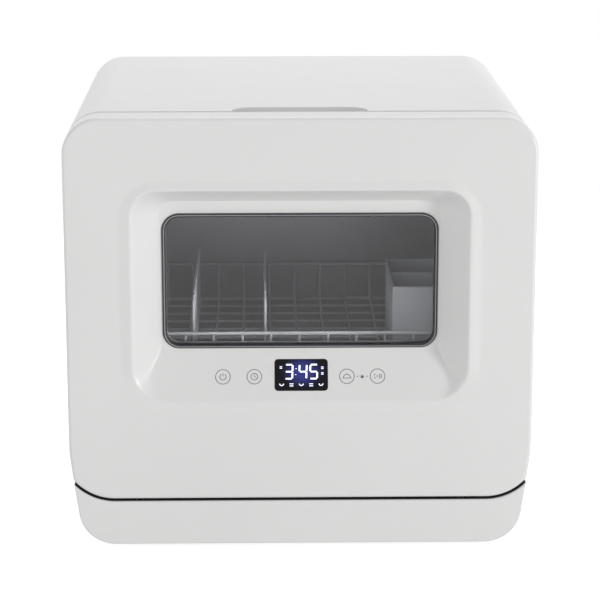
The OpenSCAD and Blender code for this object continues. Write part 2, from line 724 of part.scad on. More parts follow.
module control_box() color("ivory") {
    difference() {
        block(-box_half, box_half, box_y0, y_panel, box_z0, box_z0 + box_h);
        block(-box_half + box_t, box_half - box_t, box_y0 + box_t, y_panel + 1,
            box_z0 + box_t, box_z0 + box_h - box_t);
    }
    for (p = board_posts) rod_y(4, box_y0 + box_t - 1, board_y0, p[0], p[1]);
}
// A part that stands on the board, its lower left corner at x, z: width, height and how far it stands out
module board_block(x, z, w, h, out) {
    block(x, x + w, board_y1, board_y1 + out, box_z0 + z, box_z0 + z + h);
}
capacitor_r = 6;
capacitor_l = 12.4;
module control_board() color("green") {
    block(-box_half + board_edge, box_half - board_edge, board_y0, board_y1,
        box_z0 + board_edge, box_z0 + box_h - board_edge);
    board_block(-30, 20, 26, 24, 14.4);
    board_block(8, 50, 32, 22, 8.4);
    for (k = [0 : 2])
        rod_y(capacitor_r, board_y1, board_y1 + capacitor_l, 12 + k * 14, box_z0 + 26);
}
module power_gland() color("black") difference() {
    union() {
        rod_y(gland_r + 3, y_panel, y_back, gland_x, pump_z);
        rod_y(gland_r + 6, y_back, y_back + 4, gland_x, pump_z);
        rod_y(gland_r + 6, y_panel - 4, y_panel, gland_x, pump_z);
    }
    rod_y(gland_r, y_panel - 5, y_back + 5, gland_x, pump_z);
}

// ---- latch and switch ----

module latch_housing() color("ivory") difference() {
    block(latch_x - latch_w / 2, latch_x + latch_w / 2, tub_y0, tub_y0 + latch_d, latch_z0, latch_z1);
    block(latch_x - latch_w / 2 + 4, latch_x + latch_w / 2 - 4, tub_y0 - 1, tub_y0 + latch_d - 3,
        strike_z - 3, strike_z + strike_h + 3);
    block(latch_x - bolt_w / 2 - fit, latch_x + bolt_w / 2 + fit, bolt_y0 - fit, bolt_y1 + fit,
        strike_z, latch_z1 - 1.5);
}
bolt_y0 = tub_y0 + 4;
bolt_y1 = bolt_y0 + 5;
bolt_lift = 4.5;
module latch_bolt() color("dimgrey")
    block(latch_x - bolt_w / 2, latch_x + bolt_w / 2, bolt_y0, bolt_y1, strike_z - 0.5,
        latch_z1 - 1.8 - bolt_lift);
module door_screws() color("silver") for (p = boss_places()) screw(p[0], y_door, p[1], -1, 9);
module door_strike() color("silver") difference() {
    block(latch_x - bolt_w / 2 - 4, latch_x + bolt_w / 2 + 4, y_door, bolt_y1 + 4,
        strike_z, strike_z + strike_h);
    block(latch_x - bolt_w / 2 - 1, latch_x + bolt_w / 2 + 1, bolt_y0 - 3, bolt_y1 + 1,
        strike_z - 1, strike_z + strike_h + 1);
}
module door_switch() color("black") difference() {
    block(switch_x - 9, switch_x + 9, tub_y0, tub_y0 + 16, strike_z - 7, strike_z + 7);
    rod_y(plunger_r + fit, tub_y0 - 1, tub_y0 + 12, switch_x, strike_z);
}
module switch_plunger() color("red") rod_y(plunger_r, y_door + run_gap, tub_y0 + 9, switch_x, strike_z);

// ---- hinges ----

module hinge_brackets() color("silver") twice() difference() {
    union() for (s = [[-cheek_x0 - cheek_t, -cheek_x0], [cheek_x1, cheek_x1 + cheek_t]])
        block(hinge_x + s[0], hinge_x + s[1], y_front + base_t, hinge_y + 20, z_pan, base_h - base_t);
    rod_x(hinge_pin_r, hinge_x - 20, hinge_x + 20, hinge_y, hinge_z);
}
module hinge_pins() color("silver") twice()
    rod_x(hinge_pin_r, hinge_x - cheek_x0 - cheek_t - 1, hinge_x + cheek_x1 + cheek_t + 1, hinge_y, hinge_z);
coil_r = 0.7;
coil_turns = 5;
coil_steps = 14;
function coil_ring(k, n, r) = let (a = 360 * k / coil_steps)
    [for (j = [0 : n - 1]) let (b = 360 * j / n, q = r + coil_r * cos(b))
        [(spring_l - 2 * coil_r - 0.4) * k / (coil_turns * coil_steps) + coil_r + 0.2 + coil_r * sin(b),
            q * cos(a), q * sin(a)]];
module coil(r, n) {
    last = coil_turns * coil_steps;
    pts = [for (k = [0 : last]) each coil_ring(k, n, r)];
    sides = [for (k = [0 : last - 1], j = [0 : n - 1])
        let (a = k * n + j, b = k * n + (j + 1) % n)
        each [[a, b, b + n], [a, b + n, a + n]]];
    polyhedron(pts, concat([[for (j = [n - 1 : -1 : 0]) j]], sides, [[for (j = [0 : n - 1]) last * n + j]]));
}
module hinge_springs() color("silver") for (x = [hinge_x + cheek_x0, -hinge_x - cheek_x0 - spring_l])
    translate([x, hinge_y, hinge_z]) coil(hinge_pin_r + run_gap + coil_r, 6);
module hinge_arms() color("silver") twice() difference() {
    union() {
        rod_x(eye_r, hinge_x - arm_t / 2, hinge_x + arm_t / 2, hinge_y, hinge_z);
        block(hinge_x - arm_t / 2, hinge_x + arm_t / 2, hinge_y, hinge_y + arm_f1,
            hinge_z - eye_r, hinge_z + 2);
        block(hinge_x - arm_t / 2, hinge_x + arm_t / 2, hinge_y + arm_f0, hinge_y + arm_f1,
            hinge_z - eye_r, z_door + 34);
        block(hinge_x - 9, hinge_x + 9, hinge_y + arm_f0, y_liner, z_door + 14, z_door + 34);
    }
    rod_x(hinge_pin_r + fit, hinge_x - 20, hinge_x + 20, hinge_y, hinge_z);
}

// ---- door ----

module field_slab(y, g, half, z0, z1, r) {
    plate(y - eps, y) round_rect(-half - g, half + g, z0 - g, z1 + g, r + g, $fn = 32);
}
// The sunk field as a solid, from its crest to its floor, moved back by s
module field_form(s) {
    hull() {
        field_slab(y_crest + s, 0, field_half, field_z0 - crest_h / tan(slope_a), field_z1, field_r);
        field_slab(y_floor + s, 0, floor_half, floor_z0, floor_z1, floor_r);
    }
}
// The crest as a solid. Its lower edge is lost in the control slope.
module crest_form() {
    hull() {
        plate(y_front + eps, y_front + door_skin)
            round_rect(-field_half - crest_w, field_half + crest_w, field_z0, field_z1 + crest_top, field_r,
                $fn = 32);
        field_slab(y_crest + eps, 0, field_half, field_z0, field_z1, field_r);
    }
}
function boss_places() = [for (s = [-1, 1], k = [0 : 3])
    [s * (body_w / 2 - door_skin - 10 - (k == 3 ? 10 : 0)), z_door + 32 + k * (body_h - z_door - 54) / 3]];
// Places a child on the middle of the control slope, its face along the slope
module on_slope(x) {
    translate([x, lens_y, lens_z]) rotate([-slope_a, 0, 0]) children();
}
module door_outer_shell() color("white") difference() {
    union() {
        plate(y_front, y_liner) difference() {
            polygon(door_line(0));
            polygon(door_line(door_skin));
        }
        plate(y_front, y_front + door_skin) polygon(door_line(0));
        crest_form();
        field_form(door_skin);
        for (p = boss_places()) rod_y(4, y_front + door_skin - eps, y_liner, p[0], p[1]);
    }
    field_form(0);
    plate(y_front, y_liner + 1) window_outline(0);
    on_slope(lens_x) translate([-lens_w / 2, -3, -lens_h / 2]) cube([lens_w, 12, lens_h]);
    for (p = boss_places()) rod_y(screw_r, y_liner - 10, y_liner + 1, p[0], p[1]);
    twice() block(hinge_x - arm_t / 2 - 0.2, hinge_x + arm_t / 2 + 0.2, hinge_y + arm_f0 - 0.4,
        y_liner + 1, z_door - 1, z_door + door_skin + 1);
}
module door_inner_liner() color("gainsboro") difference() {
    plate(y_liner, y_door) polygon(door_line(0));
    plate(y_liner - 1, y_door + 1) window_outline(-frame_w);
    block(cup_x0, cup_x0 + cup_w, y_liner - 1, y_door + 1, cup_z0, cup_z0 + cup_h);
    for (p = boss_places()) rod_y(screw_r, y_liner - 1, y_door + 1, p[0], p[1]);
}
module window_frame() color("dimgrey") plate(y_floor - 0.8, y_floor + door_skin) difference() {
    window_outline(0);
    window_outline(-frame_w);
}
module window_glass_outer() color([0.6, 0.7, 0.75, 0.4])
    plate(y_floor + door_skin, y_floor + door_skin + pane_t) window_outline(pane_lap);
module window_glass_inner() color([0.6, 0.7, 0.75, 0.4])
    plate(y_liner - pane_t, y_liner) window_outline(pane_lap);
module window_spacer() color("dimgrey") plate(y_floor + door_skin + pane_t, y_liner - pane_t) difference() {
    window_outline(pane_lap);
    window_outline(0);
}
module display_lens() color("black") on_slope(lens_x)
    translate([-lens_w / 2, 0, -lens_h / 2]) cube([lens_w, lens_t, lens_h]);
module display_board() color("green") on_slope(lens_x)
    translate([-board_w / 2, door_skin, -lens_h / 2]) cube([board_w, board_t, lens_h]);
module touch_foil() color("orange") for (s = [-1, 1])
    on_slope(lens_x + s * (board_w / 2 + foil_w / 2 + 2))
        translate([-foil_w / 2, door_skin, -9]) cube([foil_w, 0.6, 18]);
module detergent_cup() color("ivory") difference() {
    block(cup_x0, cup_x0 + cup_w, y_door - cup_d, y_door, cup_z0, cup_z0 + cup_h);
    block(cup_x0 + cup_t, cup_x0 + cup_w - cup_t, y_door - cup_d + cup_t, y_door + 1,
        cup_z0 + cup_t, cup_z0 + cup_h - cup_t);
    rod_x(1.2, cup_x0 - 1, cup_x0 + cup_w + 1, lid_y, lid_z);
}
lid_y = y_door - 1.8;
lid_z = cup_z0 + cup_h - cup_t - 2.6;
module detergent_lid() color("white") difference() {
    union() {
        block(cup_x0 + cup_t + run_gap, cup_x0 + cup_w - cup_t - run_gap,
            y_door - run_gap - lid_t, y_door - run_gap, cup_z0 + cup_t + run_gap, lid_z);
        rod_x(1.8, cup_x0 + cup_t + run_gap, cup_x0 + cup_w - cup_t - run_gap, lid_y, lid_z);
        rod_x(1.15, cup_x0, cup_x0 + cup_w, lid_y, lid_z);
    }
}

// ---- rack ----

module wire(a, b, r) {
    d = b - a;
    l = norm(d);
    translate(a) rotate([0, acos(d[2] / l), atan2(d[1], d[0])]) cylinder(r = r, h = l, $fn = 24);
}
rack_cols = 6;
rack_rows = 5;
function col_x(k) = -rack_half + 2 * rack_half * k / rack_cols;
function row_y(k) = rack_y0 + (rack_y1 - rack_y0) * k / rack_rows;
// Each wire ends inside a thicker one, so the welded joints are sound
corner_post_r = wire_r + 0.3;
upright_r = (thin_r + wire_r) / 2;
cross_r = thin_r - 0.2;
// Gap at the welds between the mat and the four walls
weld_gap = 0.05;
module rack_mat() {
    for (y = [rack_y0, rack_y1]) wire([-rack_half, y, rack_z0], [rack_half, y, rack_z0], wire_r);
    for (x = [-rack_half, rack_half]) {
        wire([x, rack_y0, rack_z0], [x, rack_y1, rack_z0], wire_r);
        for (y = [rack_y0, rack_y1])
            rod_z(corner_post_r, rack_z0 - corner_post_r, rack_z0 + corner_post_r, x, y);
    }
    for (k = [1 : rack_cols - 1]) wire([col_x(k), rack_y0, rack_z0], [col_x(k), rack_y1, rack_z0], thin_r);
    for (k = [1 : rack_rows - 1])
        wire([-rack_half, row_y(k), rack_z0], [rack_half, row_y(k), rack_z0], cross_r);
}
module rack_end(y) {
    wire([-rack_half, y, rack_z1], [rack_half, y, rack_z1], wire_r);
    for (x = [-rack_half, rack_half])
        rod_z(corner_post_r, rack_z0 + corner_post_r + weld_gap, rack_z1 + corner_post_r, x, y);
    for (k = [1 : rack_cols - 1])
        wire([col_x(k), y, rack_z0 + wire_r + weld_gap], [col_x(k), y, rack_z1], upright_r);
}
module rack_side_wall(x) {
    inset = corner_post_r + weld_gap;
    wire([x, rack_y0 + inset, rack_z1], [x, rack_y1 - inset, rack_z1], wire_r);
    for (k = [1 : rack_rows - 1])
        wire([x, row_y(k), rack_z0 + wire_r + weld_gap], [x, row_y(k), rack_z1], upright_r);
}
module rack_frame() color("lightsteelblue") {
    rack_mat();
    for (y = [rack_y0, rack_y1]) rack_end(y);
    for (x = [-rack_half, rack_half]) rack_side_wall(x);
}
tine_pitch = 22;
tine_rows = [-0.62, -0.2];
// The coating gathers in a drop on each tip
tip_r = thin_r + 0.3;
module rack_tines() color("lightsteelblue") for (t = tine_rows) {
    x = t * rack_half;
    z = rack_z0 + 2 * thin_r + 0.2;
    wire([x, rack_y0 + 20, z], [x, rack_y1 - 20, z], thin_r);
    for (y = [rack_y0 + 30 : tine_pitch : rack_y1 - 25]) {
        wire([x, y, z], [x, y, z + tine_h], cross_r);
        translate([x, y, z + tine_h]) sphere(r = tip_r, $fn = 24);
    }
}
basket_w = 70;
basket_d = 120;
basket_h = 80;
basket_t = 2;
// Slots in the long sides of both cells
slot_n = 6;
slot_pitch = 9;
slot_w = 5;
slot_up = 12;
slot_h = 48;
module cutlery_basket() color("lightgrey") {
    x1 = rack_half - wire_r - 2;
    x0 = x1 - basket_w;
    y0 = rack_y0 + wire_r + 2;
    z0 = rack_z0 + thin_r + run_gap;
    cell_d = (basket_d - 3 * basket_t) / 2;
    slot_in = (cell_d - (slot_n - 1) * slot_pitch - slot_w) / 2;
    difference() {
        block(x0, x1, y0, y0 + basket_d, z0, z0 + basket_h);
        for (cell_y = [y0 + basket_t, y0 + 2 * basket_t + cell_d]) {
            block(x0 + basket_t, x1 - basket_t, cell_y, cell_y + cell_d, z0 + basket_t, z0 + basket_h + 1);
            for (k = [0 : slot_n - 1]) {
                slot_y = cell_y + slot_in + k * slot_pitch;
                block(x0 - 1, x1 + 1, slot_y, slot_y + slot_w, z0 + slot_up, z0 + slot_up + slot_h);
            }
        }
    }
}
module rack_glides() color("white") twice() for (y = [rack_y0 + 30, rack_y1 - 30])
    difference() {
        block(rack_half - 3, tub_in - 1.5, y - 12, y + 12, runner_z + runner_t + run_gap, rack_z0 + 7);
        rod_y(wire_r, y - 13, y + 13, rack_half, rack_z0);
    }

// ---- spray arm, filter cup, float ----

module spray_arm() color("lightgrey") difference() {
    union() {
        rod_z(shaft_r + 10, arm_z0, arm_z1, 0, spray_y);
        block(-spray_r + spray_w / 2, spray_r - spray_w / 2, spray_y - spray_w / 2, spray_y + spray_w / 2,
            arm_z0 + 2, arm_z1 - 3);
        for (s = [-1, 1]) rod_z(spray_w / 2, arm_z0 + 2, arm_z1 - 3, s * (spray_r - spray_w / 2), spray_y);
    }
    rod_z(shaft_r + fit, arm_z0 - 1, arm_z1 + 1, 0, spray_y);
    for (s = [-1, 1]) {
        block(min(s * 24, s * (spray_r - 18)), max(s * 24, s * (spray_r - 18)), spray_y - spray_w / 2 + 3,
            spray_y + spray_w / 2 - 3, arm_z0 + 4, arm_z1 - 5);
        for (k = [0 : 4])
            rod_z(1.6, arm_z1 - 6, arm_z1, s * (34 + k * (spray_r - 60) / 4), spray_y + (k % 2 ? 5 : -5));
    }
}
module filter_cup() color("dimgrey") difference() {
    union() {
        rod_z(filter_r, sump_floor + 6, tub_floor + 1.2 + run_gap, 0, filter_y);
        rod_z(filter_r + 4, tub_floor + 1.2 + run_gap, tub_floor + 4, 0, filter_y);
    }
    rod_z(filter_r - 1.6, sump_floor + 7.6, tub_floor + 5, 0, filter_y);
}
module float() color("ivory") difference() {
    rod_z(float_r, tub_floor + 2 + run_gap, float_top, float_x, float_y);
    rod_z(float_post_r + fit, tub_floor, float_top + 1, float_x, float_y);
}

outer_casing();
front_frame();
rear_panel();
base_pan();
base_front();
rubber_feet();
wash_tub();
tub_seal();
rack_runners();
sump();
filter_plate();
spray_shaft();
heating_element();
float_guide();
wash_pump_housing();
wash_pump_motor();
suction_hose();
pressure_pipe();
drain_pump();
drain_hose();
drain_outlet();
inlet_valve();
fill_hose();
air_break();
fan_housing();
control_box();
power_gland();
latch_housing();
door_switch();
hinge_brackets();
hinge_pins();
hinge_springs();
case_screws();
control_board();
door_screws();
spray_arm();
filter_cup();
wash_impeller();
drain_impeller();
fan_rotor();
float();
latch_bolt();
switch_plunger();
door_outer_shell();
door_inner_liner();
window_frame();
window_glass_outer();
window_spacer();
window_glass_inner();
display_lens();
display_board();
touch_foil();
detergent_cup();
detergent_lid();
door_strike();
hinge_arms();
rack_frame();
rack_tines();
cutlery_basket();
rack_glides();
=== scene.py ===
# %% [markdown]
# # A countertop dishwasher, dressed over its imported frame
# The frame holds the pieces at their real sizes and says which body each one rides on. This
# script gives them their looks: smooth shells where the frame has facets, wires, screws and a
# thread and barbs for the hoses where it has plain rods, and a finish for every surface.

# %% Load the frame
import json
import math

import bmesh
import bpy
import numpy as np
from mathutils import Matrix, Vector

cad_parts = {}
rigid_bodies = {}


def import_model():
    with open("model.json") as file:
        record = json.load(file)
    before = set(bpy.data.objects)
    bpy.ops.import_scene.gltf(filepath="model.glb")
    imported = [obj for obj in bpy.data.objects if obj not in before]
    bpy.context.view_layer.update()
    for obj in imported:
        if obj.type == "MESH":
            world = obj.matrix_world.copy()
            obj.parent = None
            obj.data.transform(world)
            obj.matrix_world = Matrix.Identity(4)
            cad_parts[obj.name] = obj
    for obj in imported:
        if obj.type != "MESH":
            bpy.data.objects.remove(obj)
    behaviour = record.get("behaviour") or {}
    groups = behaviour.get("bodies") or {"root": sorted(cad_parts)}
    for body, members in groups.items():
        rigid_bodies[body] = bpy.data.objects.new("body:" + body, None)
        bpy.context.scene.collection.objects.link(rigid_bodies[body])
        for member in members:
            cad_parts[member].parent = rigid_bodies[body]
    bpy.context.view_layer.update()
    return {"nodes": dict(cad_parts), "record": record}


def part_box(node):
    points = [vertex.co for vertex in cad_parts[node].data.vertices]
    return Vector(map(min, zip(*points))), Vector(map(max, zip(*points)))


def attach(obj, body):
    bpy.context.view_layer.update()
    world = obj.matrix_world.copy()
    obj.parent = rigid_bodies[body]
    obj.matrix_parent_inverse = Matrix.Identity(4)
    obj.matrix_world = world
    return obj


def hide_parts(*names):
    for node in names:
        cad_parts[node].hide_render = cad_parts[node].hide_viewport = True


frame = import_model()
NODES = frame["nodes"]
BODY_OF = {n: b for b, names in frame["record"]["behaviour"]["bodies"].items() for n in names}

# %% [markdown]
# ## Sizes
# Everything is worked out in millimetres, as a drawing would give it, and turned into metres
# when a mesh is made. Outer sizes come from the frame's boxes, so the looks follow the frame.

# %% Sizes from the frame
MM = 0.001


def box_mm(label):
    """Lowest and highest corner of a node, in millimetres."""
    low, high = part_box(label)
    return low / MM, high / MM


case_low, case_high = box_mm("outer_casing")
liner_low, liner_high = box_mm("door_inner_liner")
base_low = box_mm("base_front")[0]
foot_low = box_mm("rubber_feet")[0]
ring_low, ring_high = box_mm("window_frame")
half_w = liner_high.x
top_z = case_high.z
y_crest = box_mm("door_outer_shell")[0].y
crest_h = 2.2
y_front = y_crest + crest_h
y_liner, y_door = liner_low.y, liner_high.y
y_case, y_back = case_low.y, case_high.y
z_base, z_door = case_low.z, liner_low.z
foot_h = 4
z_foot = foot_low.z + foot_h
print("width", round(2 * half_w, 1), "height", round(top_z, 1), "front", round(y_front, 1))

# %% Sizes of the outline
top_r = 34
taper_z = 92
taper = math.radians(8)
corner_x, corner_r = 172.8, 50
corner_z = z_door + corner_r
foot_gap = z_door - z_base
base_r = 34
wall = 2.5
corner_reach = (half_w - corner_x) * math.cos(taper) + (corner_z - taper_z) * math.sin(taper)
base_cz = z_foot + base_r
base_cx = half_w + ((base_cz - taper_z) * math.sin(taper) - base_r) / math.cos(taper)
print("base corner centre", round(base_cx, 1), round(base_cz, 1))

# %% [markdown]
# ## Outlines
# The front view of the machine is one family of outlines: straight sides with a slight lean at
# the bottom, and round corners. A loft between two outlines only stays smooth if the same
# point of each stands on the same stretch, so every outline is made of the same stretches with
# the same number of points: half the top, a corner, a side, a corner and half the bottom.

# %% Outline helpers
CORNER_STEPS, FLAT_STEPS, SIDE_STEPS = 20, 10, 24
lean_blend = 6


def smooth_max(a, b, w):
    return 0.5 * (a + b + math.hypot(a - b, w))


def smooth_min(a, b, w):
    return 0.5 * (a + b - math.hypot(a - b, w))


def arc(cx, cz, r, start, end, steps=CORNER_STEPS):
    """Points on an arc, with its angles in degrees."""
    angles = [math.radians(start + (end - start) * k / steps) for k in range(steps + 1)]
    return [(cx + r * math.cos(a), cz + r * math.sin(a)) for a in angles]


def half_loop(upper, lower, side):
    """Right half of an outline from the middle of its top to the middle of its bottom."""
    top = [(upper[0][0] * k / FLAT_STEPS, upper[0][1]) for k in range(FLAT_STEPS)]
    z0, z1 = upper[-1][1], lower[0][1]
    levels = [z0 + (z1 - z0) * k / SIDE_STEPS for k in range(1, SIDE_STEPS)]
    middle = [(side(z), z) for z in levels]
    bottom = [(lower[-1][0] * (1 - k / FLAT_STEPS), lower[-1][1]) for k in range(1, FLAT_STEPS + 1)]
    return top + upper + middle + lower + bottom


def whole(half):
    """A closed outline from its right half."""
    return half + [(-x, z) for x, z in reversed(half[1:-1])]


def round_rect(half, z0, z1, r):
    upper = arc(half - r, z1 - r, r, 90, 0)
    lower = arc(half - r, z0 + r, r, 0, -90)
    return whole(half_loop(upper, lower, lambda z: half))


def side_x(z, i):
    """The side's half width at height z, set in by i. The lean starts softly."""
    lean = smooth_max(0, taper_z - z, lean_blend) - smooth_max(0, taper_z - top_z, lean_blend)
    return half_w - i / math.cos(taper) - lean * math.tan(taper)


def meet(r, i):
    """Angle at which the corner arc meets the leaning side."""
    return math.degrees(taper + math.acos((corner_reach - i) / r))


def top_corner(i):
    return arc(half_w - top_r, top_z - top_r, top_r - i, 90, 0)


def low_corner(i):
    return arc(base_cx, base_cz, base_r - i, -math.degrees(taper), -90)


def door_outline(i):
    r = corner_r - i
    lower = arc(corner_x, corner_z, r, -meet(r, i), -90)
    return whole(half_loop(top_corner(i), lower, lambda z: side_x(z, i)))


def base_outline(i):
    r = corner_r + foot_gap + i
    upper = arc(corner_x, corner_z, r, -90, -meet(r, i))
    return whole(half_loop(upper, low_corner(i), lambda z: side_x(z, i)))


print("points in an outline", len(door_outline(0)))

# %% [markdown]
# ## From outlines to solids
# A shell is a loft: a list of closed loops, each joined to the next by a band of quads. When the
# last loop joins the first again the skin is closed, with an inside and an outside, as a real
# moulding has. A plain plate needs only two loops and two caps.

# %% Mesh helpers


def add_piece(name, mesh, body, slot):
    """An object at the origin that shows a mesh and remembers its body and its finish."""
    obj = bpy.data.objects.new(name, mesh)
    bpy.context.scene.collection.objects.link(obj)
    obj["body"] = body
    obj["slot"] = slot
    return obj


def make_object(name, verts, faces, body, slot):
    """A finished mesh as a piece. Faces are turned outwards."""
    mesh = bpy.data.meshes.new(name)
    mesh.from_pydata([Vector(v) * MM for v in verts], [], faces)
    bm = bmesh.new()
    bm.from_mesh(mesh)
    bmesh.ops.recalc_face_normals(bm, faces=bm.faces)
    bm.to_mesh(mesh)
    bm.free()
    return add_piece(name, mesh, body, slot)


def band(faces, a, b, count):
    """Quads between the loop that starts at vertex a and the one that starts at b."""
    for k in range(count):
        n = (k + 1) % count
        faces.append((a + k, a + n, b + n, b + k))


def loft(name, loops, body, slot, closed=True):
    """A skin over loops of (x, y, z) points. It closes on itself, or ends in caps."""
    count = len(loops[0])
    verts = [p for loop in loops for p in loop]
    faces = []
    for k in range(len(loops) - 1):
        band(faces, k * count, (k + 1) * count, count)
    last = (len(loops) - 1) * count
    if closed:
        band(faces, last, 0, count)
    else:
        faces.append(tuple(range(count)))
        faces.append(tuple(range(last, last + count)))
    return make_object(name, verts, faces, body, slot)


def at_y(outline, y):
    return [(x, y, z) for x, z in outline]


print("mesh helpers ready, in units of", MM, "m")

# %% Shading and rounding


def shade(obj, angle=35):
    """Smooth shading that keeps edges sharper than the angle."""
    obj.data.shade_smooth()
    obj.data.set_sharp_from_angle(angle=math.radians(angle))


def bake(obj):
    """Turns the evaluated object into its plain mesh and removes the modifiers."""
    depsgraph = bpy.context.evaluated_depsgraph_get()
    mesh = bpy.data.meshes.new_from_object(obj.evaluated_get(depsgraph))
    obj.modifiers.clear()
    obj.data = mesh
    return obj


def evened(obj, angle=35):
    """Smooth shading that leaves large flat faces flat, as after a bevel or a boolean."""
    shade(obj, angle)
    even = obj.modifiers.new("even", "WEIGHTED_NORMAL")
    even.keep_sharp = True
    return bake(obj)


def rounded(obj, width, segments=3, angle=40):
    """Rounds the edges of a finished shape, as a mould or a press leaves them."""
    bevel = obj.modifiers.new("edges", "BEVEL")
    bevel.width = width * MM
    bevel.segments = segments
    bevel.limit_method = "ANGLE"
    bevel.angle_limit = math.radians(angle)
    return evened(bake(obj))


def fillet(r, steps=6):
    """Inset and setback of a quarter-round edge, from the flat face to the side."""
    angles = [math.pi / 2 * k / steps for k in range(steps + 1)]
    return [(r * (1 - math.sin(a)), r * (1 - math.cos(a))) for a in angles]


# %% [markdown]
# ## The door's outer shell
# It is one large moulding. A wide field is sunk into it round the window. Its side and top walls
# rise to a soft crest that stands a little out of the face, and under the window the wall is a
# long slope that carries the keys. It could be cut from a block with booleans, but then every
# blend would be a sharp edge. A loft from the window outwards gives the walls, the crest and the
# fade into the face as one smooth skin, because its height is a formula.

# %% Sizes of the sunk field
window_half, window_r = ring_high.x, 16
win_z0, win_z1 = ring_low.z, ring_high.z
sunk = 22
side_run, top_run, slope_run = 25, 13.7, 44
floor_half = window_half + 2
floor_z0, floor_z1 = win_z0 - 1, win_z1 + 11.5
crest_w, crest_top, crest_low = 13, 10, 14
floor_r, field_r, outer_r, low_r = 13, 23, 38, 32
y_floor = y_front + sunk
wall_blend, slope_blend, form_blend, floor_blend = 1.1, 1.6, 1.0, 0.5
crest_fade, settle_from = 1.3, 1.8
field_half, field_z0 = floor_half + side_run, floor_z0 - slope_run
print("field", round(2 * field_half, 1), "wide, floor at y", round(y_floor, 1))

# %% Height of the field over its floor


def soft_step(t):
    t = min(1.0, max(0.0, t))
    return t * t * (3 - 2 * t)


def wall_place(x, z, q):
    """How far up the wall a point is: 0 at the floor, 1 on the crest, 2 where the crest ends."""
    cx, cz = field_half - low_r, field_z0 + low_r
    if z > cz + low_r:
        return q
    over = abs(x) - cx
    out = math.hypot(max(over, 0), max(cz - z, 0)) - low_r if z < cz else over - low_r
    return 1 + (out / side_run if out < 0 else out / crest_w)


def rise(x, z, q):
    """Height over the floor: walls up to the crest, and the long slope under the window."""
    q = wall_place(x, z, q)
    crest = crest_h * soft_step((z - field_z0 - 1) / (crest_fade * low_r))
    inside = (sunk + crest) * q
    outside = sunk + crest * soft_step(2 - q)
    wall_rise = smooth_min(inside, outside, wall_blend)
    slope_rise = smooth_min(sunk * (floor_z0 - z) / slope_run, sunk, slope_blend)
    return smooth_max(smooth_max(wall_rise, slope_rise, form_blend), 0, floor_blend)


def field_loop(q):
    """Loop at q round the window, set at its height."""
    wall_q, out_q = min(q, 1), max(q - 1, 0)
    half = floor_half + wall_q * side_run + out_q * crest_w
    z1 = floor_z1 + wall_q * top_run + out_q * crest_top
    z0 = floor_z0 - wall_q * slope_run - out_q * crest_low
    r = floor_r + wall_q * (field_r - floor_r) + out_q * (outer_r - field_r)
    low = floor_r + wall_q * (low_r - floor_r) + out_q * (outer_r - low_r)
    upper = arc(half - r, z1 - r, r, 90, 0)
    lower = arc(half - low, z0 + low, low, 0, -90)
    outline = whole(half_loop(upper, lower, lambda z: half))
    settle = soft_step((q - settle_from) / 0.2)
    loop = []
    for x, z in outline:
        height = rise(x, z, q)
        loop.append((x, y_floor - height - (sunk - height) * settle, z))
    return loop


print("height beside the window", round(rise(window_half + 8, (win_z0 + win_z1) / 2, 0.5), 1))

# %% The door's shell


def door_shell():
    """From the window's edge out over the field, round the rim and back inside the shell."""
    lip, edge, flat, spare = 0.5, 3.2, 0.8, 2
    inner = round_rect(window_half, win_z0, win_z1, window_r)
    outer = round_rect(window_half + lip, win_z0 - lip, win_z1 + lip, window_r + lip)
    loops = [at_y(inner, y_floor + wall), at_y(inner, y_floor + lip), at_y(outer, y_floor)]
    wall_steps = [-0.03, 0, 0.03, 0.07] + [0.12 + 0.06 * k for k in range(13)]
    crest_steps = [0.88, 0.92, 0.95, 0.98, 1.01, 1.04, 1.08, 1.14, 1.22]
    fade_steps = [1.32, 1.44, 1.56, 1.68, 1.78, 1.86, 1.93, 2]
    loops += [field_loop(q) for q in wall_steps + crest_steps + fade_steps]
    rim = [(edge + flat, y_front)] + [(i, y_front + back) for i, back in fillet(edge)]
    rim += [(0, y_front + edge + flat)]
    rim += [(i, y_liner - gap) for i, gap in ((0, 0.9), (0.1, 0.25), (0.5, 0.02), (wall, 0.02))]
    rim += [(wall, y_front + wall)]
    loops += [at_y(door_outline(i), y) for i, y in rim]
    behind_half, behind_z1 = floor_half + side_run + crest_w + spare, floor_z1 + 30
    behind = round_rect(behind_half, field_z0 - crest_low, behind_z1, outer_r)
    loops.append(at_y(behind, y_front + wall))
    floor = round_rect(floor_half + spare, floor_z0 - spare, floor_z1 + spare, floor_r)
    loops.append(at_y(floor, y_floor + wall))
    return loft("door_shell", loops, "door", "white_gloss")


shell = door_shell()
shade(shell, 50)
print("door shell faces", len(shell.data.polygons))

# %% [markdown]
# ## The casing
# The real casing is one bent and deep-drawn cover. An extruded outline gives it, and two
# booleans sink the finger pocket into its front edge: first a tray is added under the top, then
# its inside is cut out. The edges are rounded last, so that the cut edges get the same soft
# radius as the rest.

# %% Casing with its finger pocket


def prism(name, outline, y0, y1, body, slot):
    return loft(name, [at_y(outline, y0), at_y(outline, y1)], body, slot, closed=False)


def combine(obj, other, how):
    """A boolean with another solid, which is then thrown away."""
    boolean = obj.modifiers.new("cut", "BOOLEAN")
    boolean.operation = how
    boolean.solver = "EXACT"
    boolean.object = other
    bake(obj)
    bpy.data.objects.remove(other)


def half_case(i, z_end):
    """Right half of the casing's section, down to z_end."""
    z0 = top_z - top_r
    levels = [z0 + (z_end - z0) * k / SIDE_STEPS for k in range(1, SIDE_STEPS + 1)]
    return top_corner(i) + [(side_x(z, i), z) for z in levels]


def casing_section(i0, i1, z_end):
    outer, inner = half_case(i0, z_end), half_case(i1, z_end)
    left_outer = [(-x, z) for x, z in outer]
    left_inner = [(-x, z) for x, z in inner]
    return left_outer[::-1] + outer + inner[::-1] + left_inner


